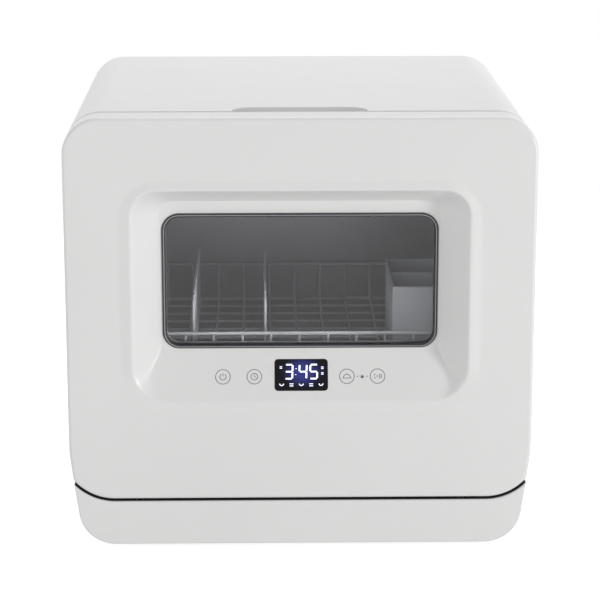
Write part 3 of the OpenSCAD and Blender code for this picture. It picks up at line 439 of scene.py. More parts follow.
pocket_w, pocket_d, pocket_h, pocket_r = 124, 24, 17, 19
pocket_foot, pocket_lean, pocket_levels = 4, 1.2, 6
case_edge, cut_past = 1.0, 5
QUARTER = [math.radians(90 * k / 12) for k in range(13)]


def pocket_solid(name, grow, z_top):
    """A scoop: round at its far corners, and its far wall leans back on the way up."""
    x, r = pocket_w / 2 + grow, pocket_r + grow
    front = y_case - (0 if grow else 1)
    z0, z1 = top_z - pocket_h - grow, min(z_top, top_z)
    loops = []
    levels = {z0 + (z1 - z0) * k / pocket_levels for k in range(pocket_levels + 1)}
    for z in sorted(levels | {z_top}):
        share = 1 - min(1, (z - z0) / (top_z - z0))
        lean = (pocket_d - pocket_foot) * share ** pocket_lean
        y = y_case + pocket_d + grow - lean
        low = min(r, y - front - 0.5)
        plan = [(-x, front), (x, front)]
        plan += [(x - r + r * math.cos(a), y - low + low * math.sin(a)) for a in QUARTER]
        plan += [(-x + r - r * math.sin(a), y - low + low * math.cos(a)) for a in QUARTER]
        loops.append([(px, py, z) for px, py in plan])
    return loft(name, loops, "cabinet", "white_shell", closed=False)


section = casing_section(0, wall, z_base)
casing = prism("casing_shell", section, y_case, y_back, "cabinet", "white_shell")
combine(casing, pocket_solid("pocket_tray", wall, top_z - wall / 2), "UNION")
combine(casing, pocket_solid("pocket_room", 0, top_z + cut_past), "DIFFERENCE")
rounded(casing, case_edge)
print("casing faces", len(casing.data.polygons))

# %% [markdown]
# ## The base
# A low plinth carries the machine. Its front has two upturned horns that follow the door's lower
# corners at an even gap. Front and pan are two hollow mouldings on the real machine, because the
# pumps stand in them, and so they are here: two lofts, each with a quarter-round edge. Booleans
# then cut out the room inside, a slot for each hinge arm and the vents under the pan.

# %% Base front and base pan


def plinth(name, outline_at, y0, y1, edge, body):
    """A solid plate with quarter-round front edge over an outline that can be set in."""
    flat, back_in, back_run = 0.6, 0.3, 0.5
    loops = [at_y(outline_at(edge + flat), y0)]
    loops += [at_y(outline_at(i), y0 + back) for i, back in fillet(edge)]
    loops += [at_y(outline_at(0), y0 + edge + flat), at_y(outline_at(0), y1 - back_run)]
    loops += [at_y(outline_at(back_in), y1)]
    obj = loft(name, loops, body, "white_shell", closed=False)
    shade(obj, 50)
    return obj


def block(x0, x1, y0, y1, z0, z1):
    """A plain box, to cut with."""
    corners = [(x0, y0), (x1, y0), (x1, y1), (x0, y1)]
    loops = [[(x, y, z) for x, y in corners] for z in (z0, z1)]
    return loft("block", loops, "cabinet", "white_shell", closed=False)


hair = 0.01


def pan_outline(i, top=None):
    """The pan's section: a flat top at the casing's seam and the base's round lower corners."""
    top = z_base - i if top is None else top
    upper = [(side_x(top, i) - hair * (CORNER_STEPS - k), top) for k in range(CORNER_STEPS + 1)]
    return whole(half_loop(upper, low_corner(i), lambda z: side_x(z, i)))


seam, front_edge, pan_edge, past = 0.1, 1.6, 0.8, 1
hinge_x, slot_half, slot_end = 150, 3.5, -185.8
vent_n, vent_pitch, vent_half, vent_y0, vent_y1 = 9, 15, 2, 90, 140


def hollow(obj, outline, y0, y1):
    """Cuts out the room inside a moulding."""
    combine(obj, prism("room", outline, y0, y1, "cabinet", "white_shell"), "DIFFERENCE")


def hinge_slots(obj):
    """Cuts the two slots through which the door's hinge arms swing."""
    for x in (-hinge_x, hinge_x):
        low, high = z_base - wall - past, z_base + past
        cutter = block(x - slot_half, x + slot_half, y_front + wall, slot_end, low, high)
        combine(obj, cutter, "DIFFERENCE")


base_front = plinth("base_front_shell", base_outline, base_low.y, y_case - seam, front_edge,
                    "cabinet")
base_pan = plinth("base_pan_shell", pan_outline, y_case + seam, y_back, pan_edge, "cabinet")
hollow(base_front, base_outline(wall), y_front + wall, y_case + past)
hollow(base_pan, pan_outline(wall, z_base + past), y_case + wall, y_back - wall)
hinge_slots(base_front)
for k in range(vent_n):
    x = vent_pitch * (k - vent_n // 2)
    vent = block(x - vent_half, x + vent_half, vent_y0, vent_y1, 0, z_foot + wall + past)
    combine(base_pan, vent, "DIFFERENCE")
for obj in (base_front, base_pan):
    evened(obj, 50)
print("base", len(base_front.data.polygons), "pan", len(base_pan.data.polygons))

# %% [markdown]
# ### The dark gap
# Between the door and the base runs a narrow gap that looks black, because it lies deep in shade.
# A dark strip on the base behind its front edge paints that shade: a thin loft over the same
# outline, raised by a hair. The hinge arms swing through it, so it gets the base's slots too.

# %% Painted shade strip in the gap


def gap_line(lift, count):
    """Upper edge of the base from its left horn to its right horn, raised by lift."""
    outline = base_outline(-lift)
    half = outline[:count]
    return [(-x, z) for x, z in reversed(half[1:])] + half


strip_lift, strip_t, strip_in, strip_d = 0.12, 0.35, 1.9, 13
strip_count = FLAT_STEPS + CORNER_STEPS
lower = gap_line(strip_lift, strip_count)
upper = gap_line(strip_lift + strip_t, strip_count)
section = lower + upper[::-1]
strip_y = y_front + strip_in
# a dark sheet in the rubber finish that paints the shade deep in the gap
gap_strip = prism("gap_strip", section, strip_y, strip_y + strip_d, "cabinet", "rubber")
hinge_slots(gap_strip)
print("strip faces", len(gap_strip.data.polygons))

# %% [markdown]
# ## The window
# A dark trim ring holds the outer pane in the door. A fine bead runs round its middle and catches
# the light, so the ring is a loft over a profile with a half-round on it.

# %% Window ring


def ring_loop(i, y):
    outline = round_rect(window_half - i, win_z0 + i, win_z1 - i, max(1, window_r - i))
    return at_y(outline, y)


ring_w, ring_proud, bead_w, bead_h, bead_steps = 3.5, 0.8, 1.5, 0.7, 8
ring_face = y_floor - ring_proud
ring_flat = ring_face + 0.1
bead_mid = ring_w / 2 + 0.1
profile = [(0, y_floor + wall), (0, ring_face + 0.5), (0.2, ring_face + 0.15), (0.45, ring_flat)]
for k in range(bead_steps + 1):
    a = math.pi * k / bead_steps
    profile.append((bead_mid - bead_w / 2 * math.cos(a), ring_flat - bead_h * math.sin(a)))
profile += [(ring_w - 0.4, ring_flat), (ring_w, ring_face + 0.9), (ring_w, y_floor + wall)]
ring_loops = [ring_loop(i, y) for i, y in profile]
window_ring = loft("window_ring", ring_loops, "door", "frame_grey")
shade(window_ring, 60)
print("ring faces", len(window_ring.data.polygons))

# %% [markdown]
# ## Display and keys on the slope
# The display is a small black lens let into the slope. Its figures are lit from behind, and the
# keys beside it are only printed rings with a symbol, felt for by a foil behind the skin. Each
# mark is a thin stroke. A sweep along its line gives the stroke round ends and an even width,
# and it is then pressed flat against the slope. The same sweep makes every wire of the rack, so
# it is one Geometry Nodes tree with a radius and a bend as its inputs.

# %% Node helpers


def set_inputs(target, values):
    """Gives a node's unlinked inputs their values."""
    for label, value in values.items():
        target.inputs[label].default_value = value


def node(tree, kind, place, inputs=None, **settings):
    """A node at a place, with its settings and the values of its unlinked inputs."""
    made = tree.nodes.new(kind)
    made.location = place
    for key, value in settings.items():
        setattr(made, key, value)
    set_inputs(made, inputs or {})
    return made


print("node helpers ready")

# %% The sweep tree


def new_tree(name, sockets):
    tree = bpy.data.node_groups.new(name, "GeometryNodeTree")
    tree.interface.new_socket("Geometry", in_out="INPUT", socket_type="NodeSocketGeometry")
    for label, kind, value in sockets:
        socket = tree.interface.new_socket(label, in_out="INPUT", socket_type=kind)
        if value is not None:
            socket.default_value = value
    tree.interface.new_socket("Geometry", in_out="OUTPUT", socket_type="NodeSocketGeometry")
    return tree


def connect(tree, *rows):
    """Links, each given as (node, output, node, input)."""
    for a, out, b, into in rows:
        tree.links.new(a.outputs[out], b.inputs[into])


def sweep_tree():
    tree = new_tree("sweep_along_edges", [
        ("Radius", "NodeSocketFloat", 0.001), ("Bend", "NodeSocketFloat", 0.0),
        ("Sides", "NodeSocketInt", 10), ("Bend Steps", "NodeSocketInt", 5),
        ("Material", "NodeSocketMaterial", None)])
    start = node(tree, "NodeGroupInput", (-900, 0))
    to_curve = node(tree, "GeometryNodeMeshToCurve", (-700, 100))
    limit = {"Limit Radius": True}
    bend = node(tree, "GeometryNodeFilletCurve", (-500, 100), limit, mode="POLY")
    circle = node(tree, "GeometryNodeCurvePrimitiveCircle", (-500, -200))
    sweep = node(tree, "GeometryNodeCurveToMesh", (-300, 0), {"Fill Caps": True})
    smooth = node(tree, "GeometryNodeSetShadeSmooth", (-100, 0))
    real = node(tree, "GeometryNodeRealizeInstances", (100, 0))
    finish = node(tree, "GeometryNodeSetMaterial", (300, 0))
    end = node(tree, "NodeGroupOutput", (500, 0))
    connect(
        tree,
        (start, "Geometry", to_curve, "Mesh"), (to_curve, "Curve", bend, "Curve"),
        (start, "Bend", bend, "Radius"), (start, "Bend Steps", bend, "Count"),
        (start, "Radius", circle, "Radius"), (start, "Sides", circle, "Resolution"),
        (bend, "Curve", sweep, "Curve"), (circle, "Curve", sweep, "Profile Curve"),
        (sweep, "Mesh", smooth, "Geometry"), (smooth, "Geometry", real, "Geometry"),
        (real, "Geometry", finish, "Geometry"), (start, "Material", finish, "Material"),
        (finish, "Geometry", end, "Geometry"))
    return tree


SWEEP = sweep_tree()
print("sweep nodes", len(SWEEP.nodes))

# %% Wires from paths


def apply_tree(obj, tree, values):
    """Runs a node tree on an object, with its inputs set by their identifiers."""
    modifier = obj.modifiers.new(tree.name, "NODES")
    modifier.node_group = tree
    for item in tree.interface.items_tree:
        if item.in_out == "INPUT" and item.name in values:
            modifier[item.identifier] = values[item.name]
    return bake(obj)


def line_mesh(name, paths, body, slot):
    """Paths of points in millimetres as edges. A path that ends where it starts is a ring."""
    verts, edges = [], []
    for path in paths:
        ring = path[0] == path[-1]
        points = path[:-1] if ring else path
        first = len(verts)
        verts += points
        edges += [(first + k, first + k + 1) for k in range(len(points) - 1)]
        if ring:
            edges.append((first + len(points) - 1, first))
    mesh = bpy.data.meshes.new(name)
    mesh.from_pydata([Vector(v) * MM for v in verts], edges, [])
    return add_piece(name, mesh, body, slot)


def wires(name, paths, r, body, slot, bend=0.0, sides=10, bend_steps=5):
    """Round wires along paths, with their corners bent to a radius."""
    obj = line_mesh(name, paths, body, slot)
    values = {"Radius": r * MM, "Bend": bend * MM, "Sides": sides, "Bend Steps": bend_steps}
    return apply_tree(obj, SWEEP, values)


def join(name, parts, body, slot):
    """Several finished meshes as one object."""
    bm = bmesh.new()
    for part in parts:
        bm.from_mesh(part.data)
        bpy.data.objects.remove(part)
    mesh = bpy.data.meshes.new(name)
    bm.to_mesh(mesh)
    bm.free()
    return add_piece(name, mesh, body, slot)


print("wires and joined meshes ready")

# %% The slope's own axes
lens_low, lens_high = box_mm("display_lens")
lens_mid = (lens_low + lens_high) / 2
slope = math.atan(sunk / slope_run)
along = Vector((0, math.sin(slope), math.cos(slope)))
outward = Vector((0, -math.cos(slope), math.sin(slope)))
slope_origin = Vector((lens_mid.x, y_front + sunk / 2, field_z0 + slope_run / 2))
print("slope", round(math.degrees(slope), 1), "degrees from upright")


def on_slope(u, v, lift=0.0):
    """A point of the slope: u to the right, v up the slope, lift off its face."""
    p = slope_origin + Vector((u, 0, 0)) + along * v + outward * lift
    return (p.x, p.y, p.z)


def press_flat(obj, lift, share):
    """Squeezes a stroke against the slope, so that it looks printed."""
    base = slope_origin + outward * lift
    for vert in obj.data.vertices:
        off = (vert.co / MM - base).dot(outward)
        vert.co -= outward * (off * (1 - share)) * MM
    return obj


# %% Display lens
lens_w, lens_h, lens_r = 49.4, 30, 3.4


def lens_loop(inset, lift):
    half_h = lens_h / 2 - inset
    outline = round_rect(lens_w / 2 - inset, -half_h, half_h, lens_r - inset)
    return [on_slope(x, z, lift) for x, z in outline]


lens_section = [(0, -1.9), (0, 0.15), (0.15, 0.32), (0.5, 0.4), (0.9, 0.4)]
lens_loops = [lens_loop(inset, lift) for inset, lift in lens_section]
lens = loft("display_glass", lens_loops, "door", "display_black", closed=False)
shade(lens, 50)
print("lens faces", len(lens.data.polygons))

# %% Strokes for figures and symbols


def circle_path(u, v, r, start=0, end=360, steps=40):
    points = [on_slope(x, z) for x, z in arc(u, v, r, start, end, steps)]
    if end - start == 360:
        points[-1] = points[0]
    return points


def stroke_path(*points):
    return [on_slope(u, v) for u, v in points]


PRESSED = 0.16


def marks(name, paths, width, slot, lift):
    """Strokes along paths on the slope, lifted off it and pressed to a share of their height."""
    obj = wires(name, paths, width / 2, "door", slot, sides=8)
    for vert in obj.data.vertices:
        vert.co += outward * lift * MM
    return press_flat(obj, lift, PRESSED)


figure_stroke, sign_stroke, key_stroke = 1.5, 0.9, 0.6
figure_lift, sign_lift, ink_lift = 0.46, 0.42, 0.02
SEGMENTS = {"3": "abgcd", "4": "fgbc", "5": "afgcd"}


def figure(sign, u, v, w, h):
    """Strokes of a seven-segment figure whose middle is at u, v."""
    gap, slant = 0.5, 0.04
    x, y = w / 2, h / 2
    ends = {
        "a": ((-x, y), (x, y)), "g": ((-x, 0), (x, 0)), "d": ((-x, -y), (x, -y)),
        "f": ((-x, y), (-x, 0)), "b": ((x, y), (x, 0)),
        "e": ((-x, 0), (-x, -y)), "c": ((x, 0), (x, -y))}
    paths = []
    for letter in SEGMENTS[sign]:
        (x0, y0), (x1, y1) = ends[letter]
        length = math.hypot(x1 - x0, y1 - y0)
        sx, sy = (x1 - x0) / length * gap, (y1 - y0) / length * gap
        bar = [(x0 + sx, y0 + sy), (x1 - sx, y1 - sy)]
        paths.append(stroke_path(*[(u + x + slant * y, v + y) for x, y in bar]))
    return paths


figure_w, figure_h, figure_v = 6.6, 13.2, 3.0
clock = []
for sign, u in (("3", -11.4), ("4", 1.6), ("5", 11.6)):
    clock += figure(sign, u, figure_v, figure_w, figure_h)
colon_u, dot_half = -4.9, 0.2
for dv in (-2.8, 2.8):
    u, v = colon_u + 0.1 * dv, figure_v + dv
    clock.append(stroke_path((u, v - dot_half), (u, v + dot_half)))
marks("display_figures", clock, figure_stroke, "display_black", figure_lift)
print("figure strokes", len(clock))

# %% Small signs under the figures
sign_v, sign_w, sign_u0, sign_pitch = -9.4, 3.6, -18.2, 9.1


def bars(u, v, half, gaps):
    """Level strokes across u, at heights over v."""
    return [stroke_path((u - half, v + d), (u + half, v + d)) for d in gaps]


signs = []
for k in range(5):
    u = sign_u0 + sign_pitch * k
    if k % 2:
        signs += bars(u, sign_v, sign_w / 2, (-1.0, 0.9))
    else:
        signs += [circle_path(u, sign_v + 1.1, sign_w / 2, 180, 360, 12)]
for u, v in ((19.6, 6.6), (19.6, 1.2), (-18.8, 7.0)):
    signs += bars(u, v, 1.1, (-0.7, 0.7))
marks("display_signs", signs, sign_stroke, "display_black", sign_lift)
print("sign strokes", len(signs))

# %% Printed keys
key_r = 6.8
key_u = {"power": -72.5, "timer": -43.4, "dish": 42.3, "start": 70.7}
key_v = -1.5
prints = [circle_path(u, key_v, key_r) for u in key_u.values()]
u = key_u["power"]
prints += [circle_path(u, key_v, 2.9, -235, 55, 24)]
prints += [stroke_path((u, key_v + 0.6), (u, key_v + 3.6))]
u = key_u["timer"]
prints += [circle_path(u, key_v, 3.1, steps=24)]
prints += [stroke_path((u, key_v + 1.9), (u, key_v), (u + 1.6, key_v - 0.6))]
u = key_u["dish"]
prints += [circle_path(u, key_v - 1.4, 3.3, 0, 180, 20)] + bars(u, key_v, 4, (-1.7,))
prints += [stroke_path((u, key_v + 2), (u, key_v + 2.6))]
u = key_u["start"]
arrow = [(u - 3, key_v + 2.3), (u - 3, key_v - 2.3), (u + 0.4, key_v), (u - 3, key_v + 2.3)]
prints += [stroke_path(*arrow)]
prints += [stroke_path((u + x, key_v + 2.1), (u + x, key_v - 2.1)) for x in (1.9, 3.5)]
lock_u, lock_v = 56.5, key_v - 0.6
prints += bars(lock_u, lock_v, 1.3, (-0.9, -0.45, 0, 0.45))
prints += [circle_path(lock_u, lock_v + 0.7, 0.9, 0, 180, 10)]
prints += [stroke_path((lock_u + s * 3.4, key_v), (lock_u + s * 5.2, key_v)) for s in (-1, 1)]
marks("key_prints", prints, key_stroke, "frame_grey", ink_lift)
print("key strokes", len(prints))

# %% [markdown]
# ## The rack
# A dish rack is bent and welded wire, coated in white. Every wire is a path, and the sweep tree
# gives it a round section. The heavy rims are closed rings with bent corners, and the thinner
# wires cross the floor and climb to the upper rim in one bent piece each, as they do on the real
# rack.

# %% Rack wires
rack_low, rack_high = box_mm("rack_frame")
rim_r, thin_r = 1.8, 1.3
post_r = rim_r + 0.3
rack_half = rack_high.x - post_r
rack_y0, rack_y1 = rack_low.y + post_r, rack_high.y - post_r
rack_z0, rack_z1 = rack_low.z + post_r, rack_high.z - post_r
rack_cols, rack_rows = 12, 9
corners = [(-rack_half, rack_y0), (rack_half, rack_y0), (rack_half, rack_y1)]
corners += [(-rack_half, rack_y1), (-rack_half, rack_y0)]
rim = [[(x, y, z) for x, y in corners] for z in (rack_z0, rack_z1)]
rims = wires("rack_rims", rim, rim_r, "rack", "coated_wire", bend=9, sides=12, bend_steps=6)
floor_wires = []
for k in range(1, rack_cols):
    x = -rack_half + 2 * rack_half * k / rack_cols
    bent = [(rack_y0, rack_z1), (rack_y0, rack_z0), (rack_y1, rack_z0), (rack_y1, rack_z1)]
    floor_wires.append([(x, y, z) for y, z in bent])
for k in range(1, rack_rows):
    y = rack_y0 + (rack_y1 - rack_y0) * k / rack_rows
    bent = [(-rack_half, rack_z1), (-rack_half, rack_z0)]
    bent += [(rack_half, rack_z0), (rack_half, rack_z1)]
    floor_wires.append([(x, y, z) for x, z in bent])
thin = wires("rack_thin", floor_wires, thin_r, "rack", "coated_wire", bend=6)
rack_wires = join("rack_wires", [rims, thin], "rack", "coated_wire")
print("rack faces", len(rack_wires.data.polygons))

# %% Tines
tine_low, tine_high = box_mm("rack_tines")
tine_z0, tine_z1 = tine_low.z + thin_r, tine_high.z - thin_r
tine_pitch, first_tine, last_gap = 22, 10, 4
tine_paths = []
for x in (tine_low.x + thin_r, tine_high.x - thin_r):
    tine_paths.append([(x, tine_low.y, tine_z0), (x, tine_high.y, tine_z0)])
    y = tine_low.y + first_tine
    while y < tine_high.y - last_gap:
        tine_paths.append([(x, y, tine_z0), (x, y, tine_z1)])
        y += tine_pitch
wires("rack_tine_rows", tine_paths, thin_r, "rack", "coated_wire")
print("tines", len(tine_paths) - 2)

# %% [markdown]
# ## The heating element
# A metal-sheathed tube bent to a ring over the chamber's floor. One path with its two legs and
# the same sweep tree give it, with many sides because it is seen up close when the door is down.

# %% Heating element
heat_low, heat_high = box_mm("heating_element")
heater_r, ring_mid_r, gap_angle, ring_steps = 3.5, 105, 12, 72
leg_wall, leg_in = 1.1, 2
heat_y = heat_high.y - heater_r - ring_mid_r
ring = arc(0, heat_y, ring_mid_r, 90 + gap_angle, 450 - gap_angle, ring_steps)
heat_z = heat_high.z - heater_r - leg_wall
leg_z = heat_low.z + leg_in
heater_path = [(x, y, heat_z) for x, y in ring]
heater_path = [(*ring[0], leg_z)] + heater_path + [(*ring[-1], leg_z)]
heater = wires("heater_tube", [heater_path], heater_r, "cabinet", "heater_steel", bend=6, sides=14)
print("heater faces", len(heater.data.polygons))

# %% [markdown]
# ## Feet and screws
# A rubber foot is a turned shape with a chamfer under and a groove round it. The screws are all
# alike, so one head with a crossed recess is made once and a Geometry Nodes tree sets a copy on
# every point of a small mesh. The points come from the frame's own screws.

# %% Turned shapes


def turned(name, profile, centre, axis, body, slot, steps=40):
    """Spins a profile of (radius, distance along the axis) round an axis."""
    side = Vector((1, 0, 0)) if abs(axis[0]) < 0.5 else Vector((0, 1, 0))
    axis = Vector(axis)
    other = axis.cross(side)
    loops = []
    for r, d in profile:
        loop = []
        for k in range(steps):
            a = 2 * math.pi * k / steps
            p = Vector(centre) + axis * d + side * (r * math.cos(a)) + other * (r * math.sin(a))
            loop.append((p.x, p.y, p.z))
        loops.append(loop)
    return loft(name, loops, body, slot, closed=False)


def islands(label):
    """Boxes of a node's separate solids, in millimetres."""
    bm = bmesh.new()
    bm.from_mesh(NODES[label].data)
    bmesh.ops.remove_doubles(bm, verts=bm.verts, dist=1e-6)
    boxes, seen = [], set()
    for vert in bm.verts:
        if vert in seen:
            continue
        stack, group = [vert], []
        seen.add(vert)
        while stack:
            v = stack.pop()
            group.append(v.co / MM)
            for edge in v.link_edges:
                o = edge.other_vert(v)
                if o not in seen:
                    seen.add(o)
                    stack.append(o)
        points = np.array(group)
        boxes.append((Vector(points.min(0)), Vector(points.max(0))))
    bm.free()
    return boxes


# %% Feet
foot_r, groove = 12, 1.2
foot_profile = [(foot_r - 2, 0), (foot_r - 0.6, 0.5), (foot_r, 1.4), (foot_r, 2.6),
                (foot_r - groove, 3.1), (foot_r - groove, foot_h)]
feet = []
for low, high in islands("rubber_feet"):
    mid = (low + high) / 2
    feet.append(turned("foot", foot_profile, (mid.x, mid.y, 0), (0, 0, 1), "cabinet", "rubber"))
feet = join("feet", feet, "cabinet", "rubber")
shade(feet)
print("feet", len(feet.data.polygons))

# %% Copies on points


def scatter_tree():
    """A copy of one piece on every vertex, tipped and turned by chance round its axis."""
    tree = new_tree("copies_on_points", [
        ("Piece", "NodeSocketObject", None), ("Tip", "NodeSocketFloat", 0.0),
        ("Turn", "NodeSocketFloat", 2 * math.pi), ("Seed", "NodeSocketInt", 3),
        ("Material", "NodeSocketMaterial", None)])
    start = node(tree, "NodeGroupInput", (-900, 0))
    piece = node(tree, "GeometryNodeObjectInfo", (-600, -200))
    low = node(tree, "ShaderNodeCombineXYZ", (-700, -400))
    high = node(tree, "ShaderNodeCombineXYZ", (-700, -600))
    chance = node(tree, "FunctionNodeRandomValue", (-500, -450), data_type="FLOAT_VECTOR")
    placed = node(tree, "GeometryNodeInstanceOnPoints", (-300, 0))
    real = node(tree, "GeometryNodeRealizeInstances", (-100, 0))
    finish = node(tree, "GeometryNodeSetMaterial", (100, 0))
    end = node(tree, "NodeGroupOutput", (300, 0))
    connect(
        tree,
        (start, "Piece", piece, "Object"), (start, "Tip", low, "X"),
        (start, "Tip", high, "X"), (start, "Turn", high, "Y"),
        (low, "Vector", chance, "Min"), (high, "Vector", chance, "Max"),
        (start, "Seed", chance, "Seed"), (start, "Geometry", placed, "Points"),
        (piece, "Geometry", placed, "Instance"), (chance, "Value", placed, "Rotation"),
        (placed, "Instances", real, "Geometry"), (real, "Geometry", finish, "Geometry"),
        (start, "Material", finish, "Material"), (finish, "Geometry", end, "Geometry"))
    return tree


SCATTER = scatter_tree()
print("scatter nodes", len(SCATTER.nodes))


def copies(name, piece, points, tip, body, slot, turn=360):
    """Copies of a piece on points, tipped and turned by degrees. The piece itself stays."""
    obj = line_mesh(name, [points], body, slot)
    values = {"Piece": piece, "Tip": math.radians(tip), "Turn": math.radians(turn), "Seed": 3}
    return apply_tree(obj, SCATTER, values)


# %% Screws
head_r, head_h, shank_r, shank_l = 3, 1.8, 1.5, 8
recess_l, recess_w, recess_floor = 1.9, 0.42, 0.7
screw_profile = [(0.9, -shank_l), (shank_r, -shank_l + 1), (shank_r, 0), (head_r - 0.2, 0),
                 (head_r, 0.2), (head_r, 0.6), (head_r - 0.3, 1.1), (head_r - 0.9, 1.5),
                 (head_r - 1.8, 1.75), (0.3, head_h)]
screw = turned("screw", screw_profile, (0, 0, 0), (0, 0, 1), "cabinet", "plated_steel", 28)
for half_x, half_y in ((recess_l, recess_w), (recess_w, recess_l)):
    combine(screw, block(-half_x, half_x, -half_y, half_y, recess_floor, 3), "DIFFERENCE")
shade(screw, 40)
case_points, base_points, door_points = [], [], []
for low, high in islands("case_screws"):
    mid = (low + high) / 2
    if mid.y > 0:
        case_points.append((mid.x, high.y - head_h, mid.z))
    else:
        base_points.append((mid.x, low.y + head_h, mid.z))
for low, high in islands("door_screws"):
    mid = (low + high) / 2
    door_points.append((mid.x, high.y - head_h, mid.z))
rear_heads = copies("rear_heads", screw, case_points, -90, "cabinet", "plated_steel")
base_heads = copies("base_heads", screw, base_points, 90, "cabinet", "plated_steel")
case_heads = join("case_screw_set", [rear_heads, base_heads], "cabinet", "plated_steel")
door_heads = copies("door_screw_set", screw, door_points, -90, "door", "plated_steel")
bpy.data.objects.remove(screw)
for obj in (case_heads, door_heads):
    shade(obj, 40)
print("screws", len(case_points), len(base_points), len(door_points))

# %% [markdown]
# ## Spray nozzles
# Water leaves the arm through small raised rings, set a little off its middle line by turns. One
# ring is spun up from its section, and the same tree that sets the screws sets its copies, with
# no turn by chance.

# %% Spray nozzles
arm_top = box_mm("spray_arm")[1].z
nozzle_profile = [(1.6, -1), (1.6, 0.55), (1.75, 0.7), (2.1, 0.7), (2.7, 0.2), (2.9, -0.4)]
nozzle_profile += [(2.9, -1)]
nozzle = turned("nozzle", nozzle_profile, (0, 0, 0), (0, 0, 1), "spray_arm", "grey_plastic", 24)
arm_y, nozzle_off, nozzle_n, first_reach, reach_pitch, sink = -12.15, 5, 5, 34, 23, 3
nozzle_points = []
for k in range(nozzle_n):
    reach, off = first_reach + reach_pitch * k, nozzle_off if k % 2 else -nozzle_off
    nozzle_points += [(s * reach, arm_y + off, arm_top - sink) for s in (-1, 1)]
nozzles = copies("spray_nozzles", nozzle, nozzle_points, 0, "spray_arm", "grey_plastic", 0)
bpy.data.objects.remove(nozzle)
shade(nozzles)
print("nozzles", len(nozzle_points))

# %% [markdown]
# ## Thread and barbs on the rear
# The water inlet ends in a thread for a hose nut, and the drain outlet in barbs that hold a hose.
# The thread is a helix for the sweep tree. It could be cut with a boolean, but a raised wire looks
# the same and stays light. Each barb is a turned ring with a steep back.

# %% Thread and barbs
valve_x, outlet_x, pipe_z, fitting_y = -178.5, 90, 64, 204
thread_r, thread_pitch, thread_wire = 13.2, 2.6, 0.75
turns, per_turn = 5, 36
helix = []
for k in range(turns * per_turn + 1):
    a = 2 * math.pi * k / per_turn
    y = fitting_y + thread_pitch * k / per_turn
    helix.append((valve_x + thread_r * math.cos(a), y, pipe_z + thread_r * math.sin(a)))
thread = wires("inlet_thread", [helix], thread_wire, "cabinet", "ivory_plastic", sides=6)
outlet_r, barb_pitch, barb_h, barb_l = 9.5, 5.5, 1.1, 3.6
barb = [(outlet_r - 0.6, 0), (outlet_r + barb_h, 0), (outlet_r + barb_h, 0.5),
        (outlet_r - 0.1, barb_l), (outlet_r - 0.6, barb_l)]
barbs = []
for k in range(3):
    centre = (outlet_x, fitting_y + barb_pitch * k, pipe_z)
    barbs.append(turned("barb", barb, centre, (0, 1, 0), "cabinet", "dark_plastic"))
barbs = join("outlet_barbs", barbs, "cabinet", "dark_plastic")
shade(barbs)
print("thread", len(thread.data.polygons), "barbs", len(barbs.data.polygons))

# %% [markdown]
# ## Pressed beads
# Sheet metal is stiffened by raised beads that run round a rear panel and round a window. A wire
# swept along the outline and pressed down to a low height gives one, so it is a real raised form.
# The same sweep lays a fine pale line on the window ring's bead: a painted highlight.

# %% Pressed beads


def pressed_bead(name, outlines, y, height, body, slot, r=2.6):
    """Half-round beads that stand out of a sheet at y, as a press leaves them to stiffen it."""
    paths = [at_y(outline + outline[:1], y) for outline in outlines]
    obj = wires(name, paths, r, body, slot, sides=12)
    for vert in obj.data.vertices:
        vert.co.y = (y + (vert.co.y / MM - y) * height / r) * MM
    return obj


panel_y = box_mm("rear_panel")[1].y
panel_bead_half, panel_bead_h, panel_bead_z, panel_bead_pitch, panel_bead_r = 118, 18, 130, 38, 9
rear_outlines = []
for k in range(4):
    z0 = panel_bead_z + panel_bead_pitch * k
    rear_outlines.append(round_rect(panel_bead_half, z0, z0 + panel_bead_h, panel_bead_r))
rear_beads = pressed_bead("rear_panel_beads", rear_outlines, panel_y, 0.9, "cabinet", "grey_shell")
liner_outlines = [round_rect(window_half + d, win_z0 - d, win_z1 + d, window_r + r)
                  for d, r in ((12, 12), (34, 30))]
liner_beads = pressed_bead("liner_beads", liner_outlines, y_door, 1.0, "door", "grey_shell")
# a pale wire on the ring's bead: a painted highlight where the bead catches the light
mid_in, line_r, line_lift = ring_w / 2, 0.42, 0.55
ring_mid = round_rect(window_half - mid_in, win_z0 + mid_in, win_z1 - mid_in, window_r - mid_in)
ring_mid = at_y(ring_mid + ring_mid[:1], ring_face - line_lift)
ring_line = wires("window_ring_line", [ring_mid], line_r, "door", "frame_grey", sides=8)
print("beads", [len(obj.data.polygons) for obj in (rear_beads, liner_beads, ring_line)])

# %% [markdown]
# ## Moulded edges
# A moulded or pressed piece has no knife edge. Pieces whose own form is right are taken as they
# are, their flat facets are merged, and their edges are rounded by a small bevel, so that they
# catch the light as real ones do.

# %% Soft copies
SLOT_OF = {e["node"]: e["material_slot"] for e in frame["record"]["subparts"]}
SOFT = {
    "front_frame": 1.0, "rear_panel": 0.6, "wash_tub": 0.8, "door_inner_liner": 0.7,
    "detergent_cup": 0.7, "detergent_lid": 0.6, "cutlery_basket": 0.6, "spray_arm": 1.6,
    "filter_cup": 0.5, "tub_seal": 0.7, "rack_glides": 0.9, "float": 0.6, "rack_runners": 0.9,
    "door_strike": 0.4, "hinge_arms": 0.4, "hinge_brackets": 0.3, "power_gland": 0.8,
    "drain_outlet": 0.5, "inlet_valve": 0.6, "spray_shaft": 0.6, "latch_housing": 0.6,
    "fan_housing": 0.6, "control_box": 0.8, "air_break": 1.2, "wash_pump_housing": 1.0,
    "filter_plate": 0.3, "sump": 0.8, "window_spacer": 0.3,
}


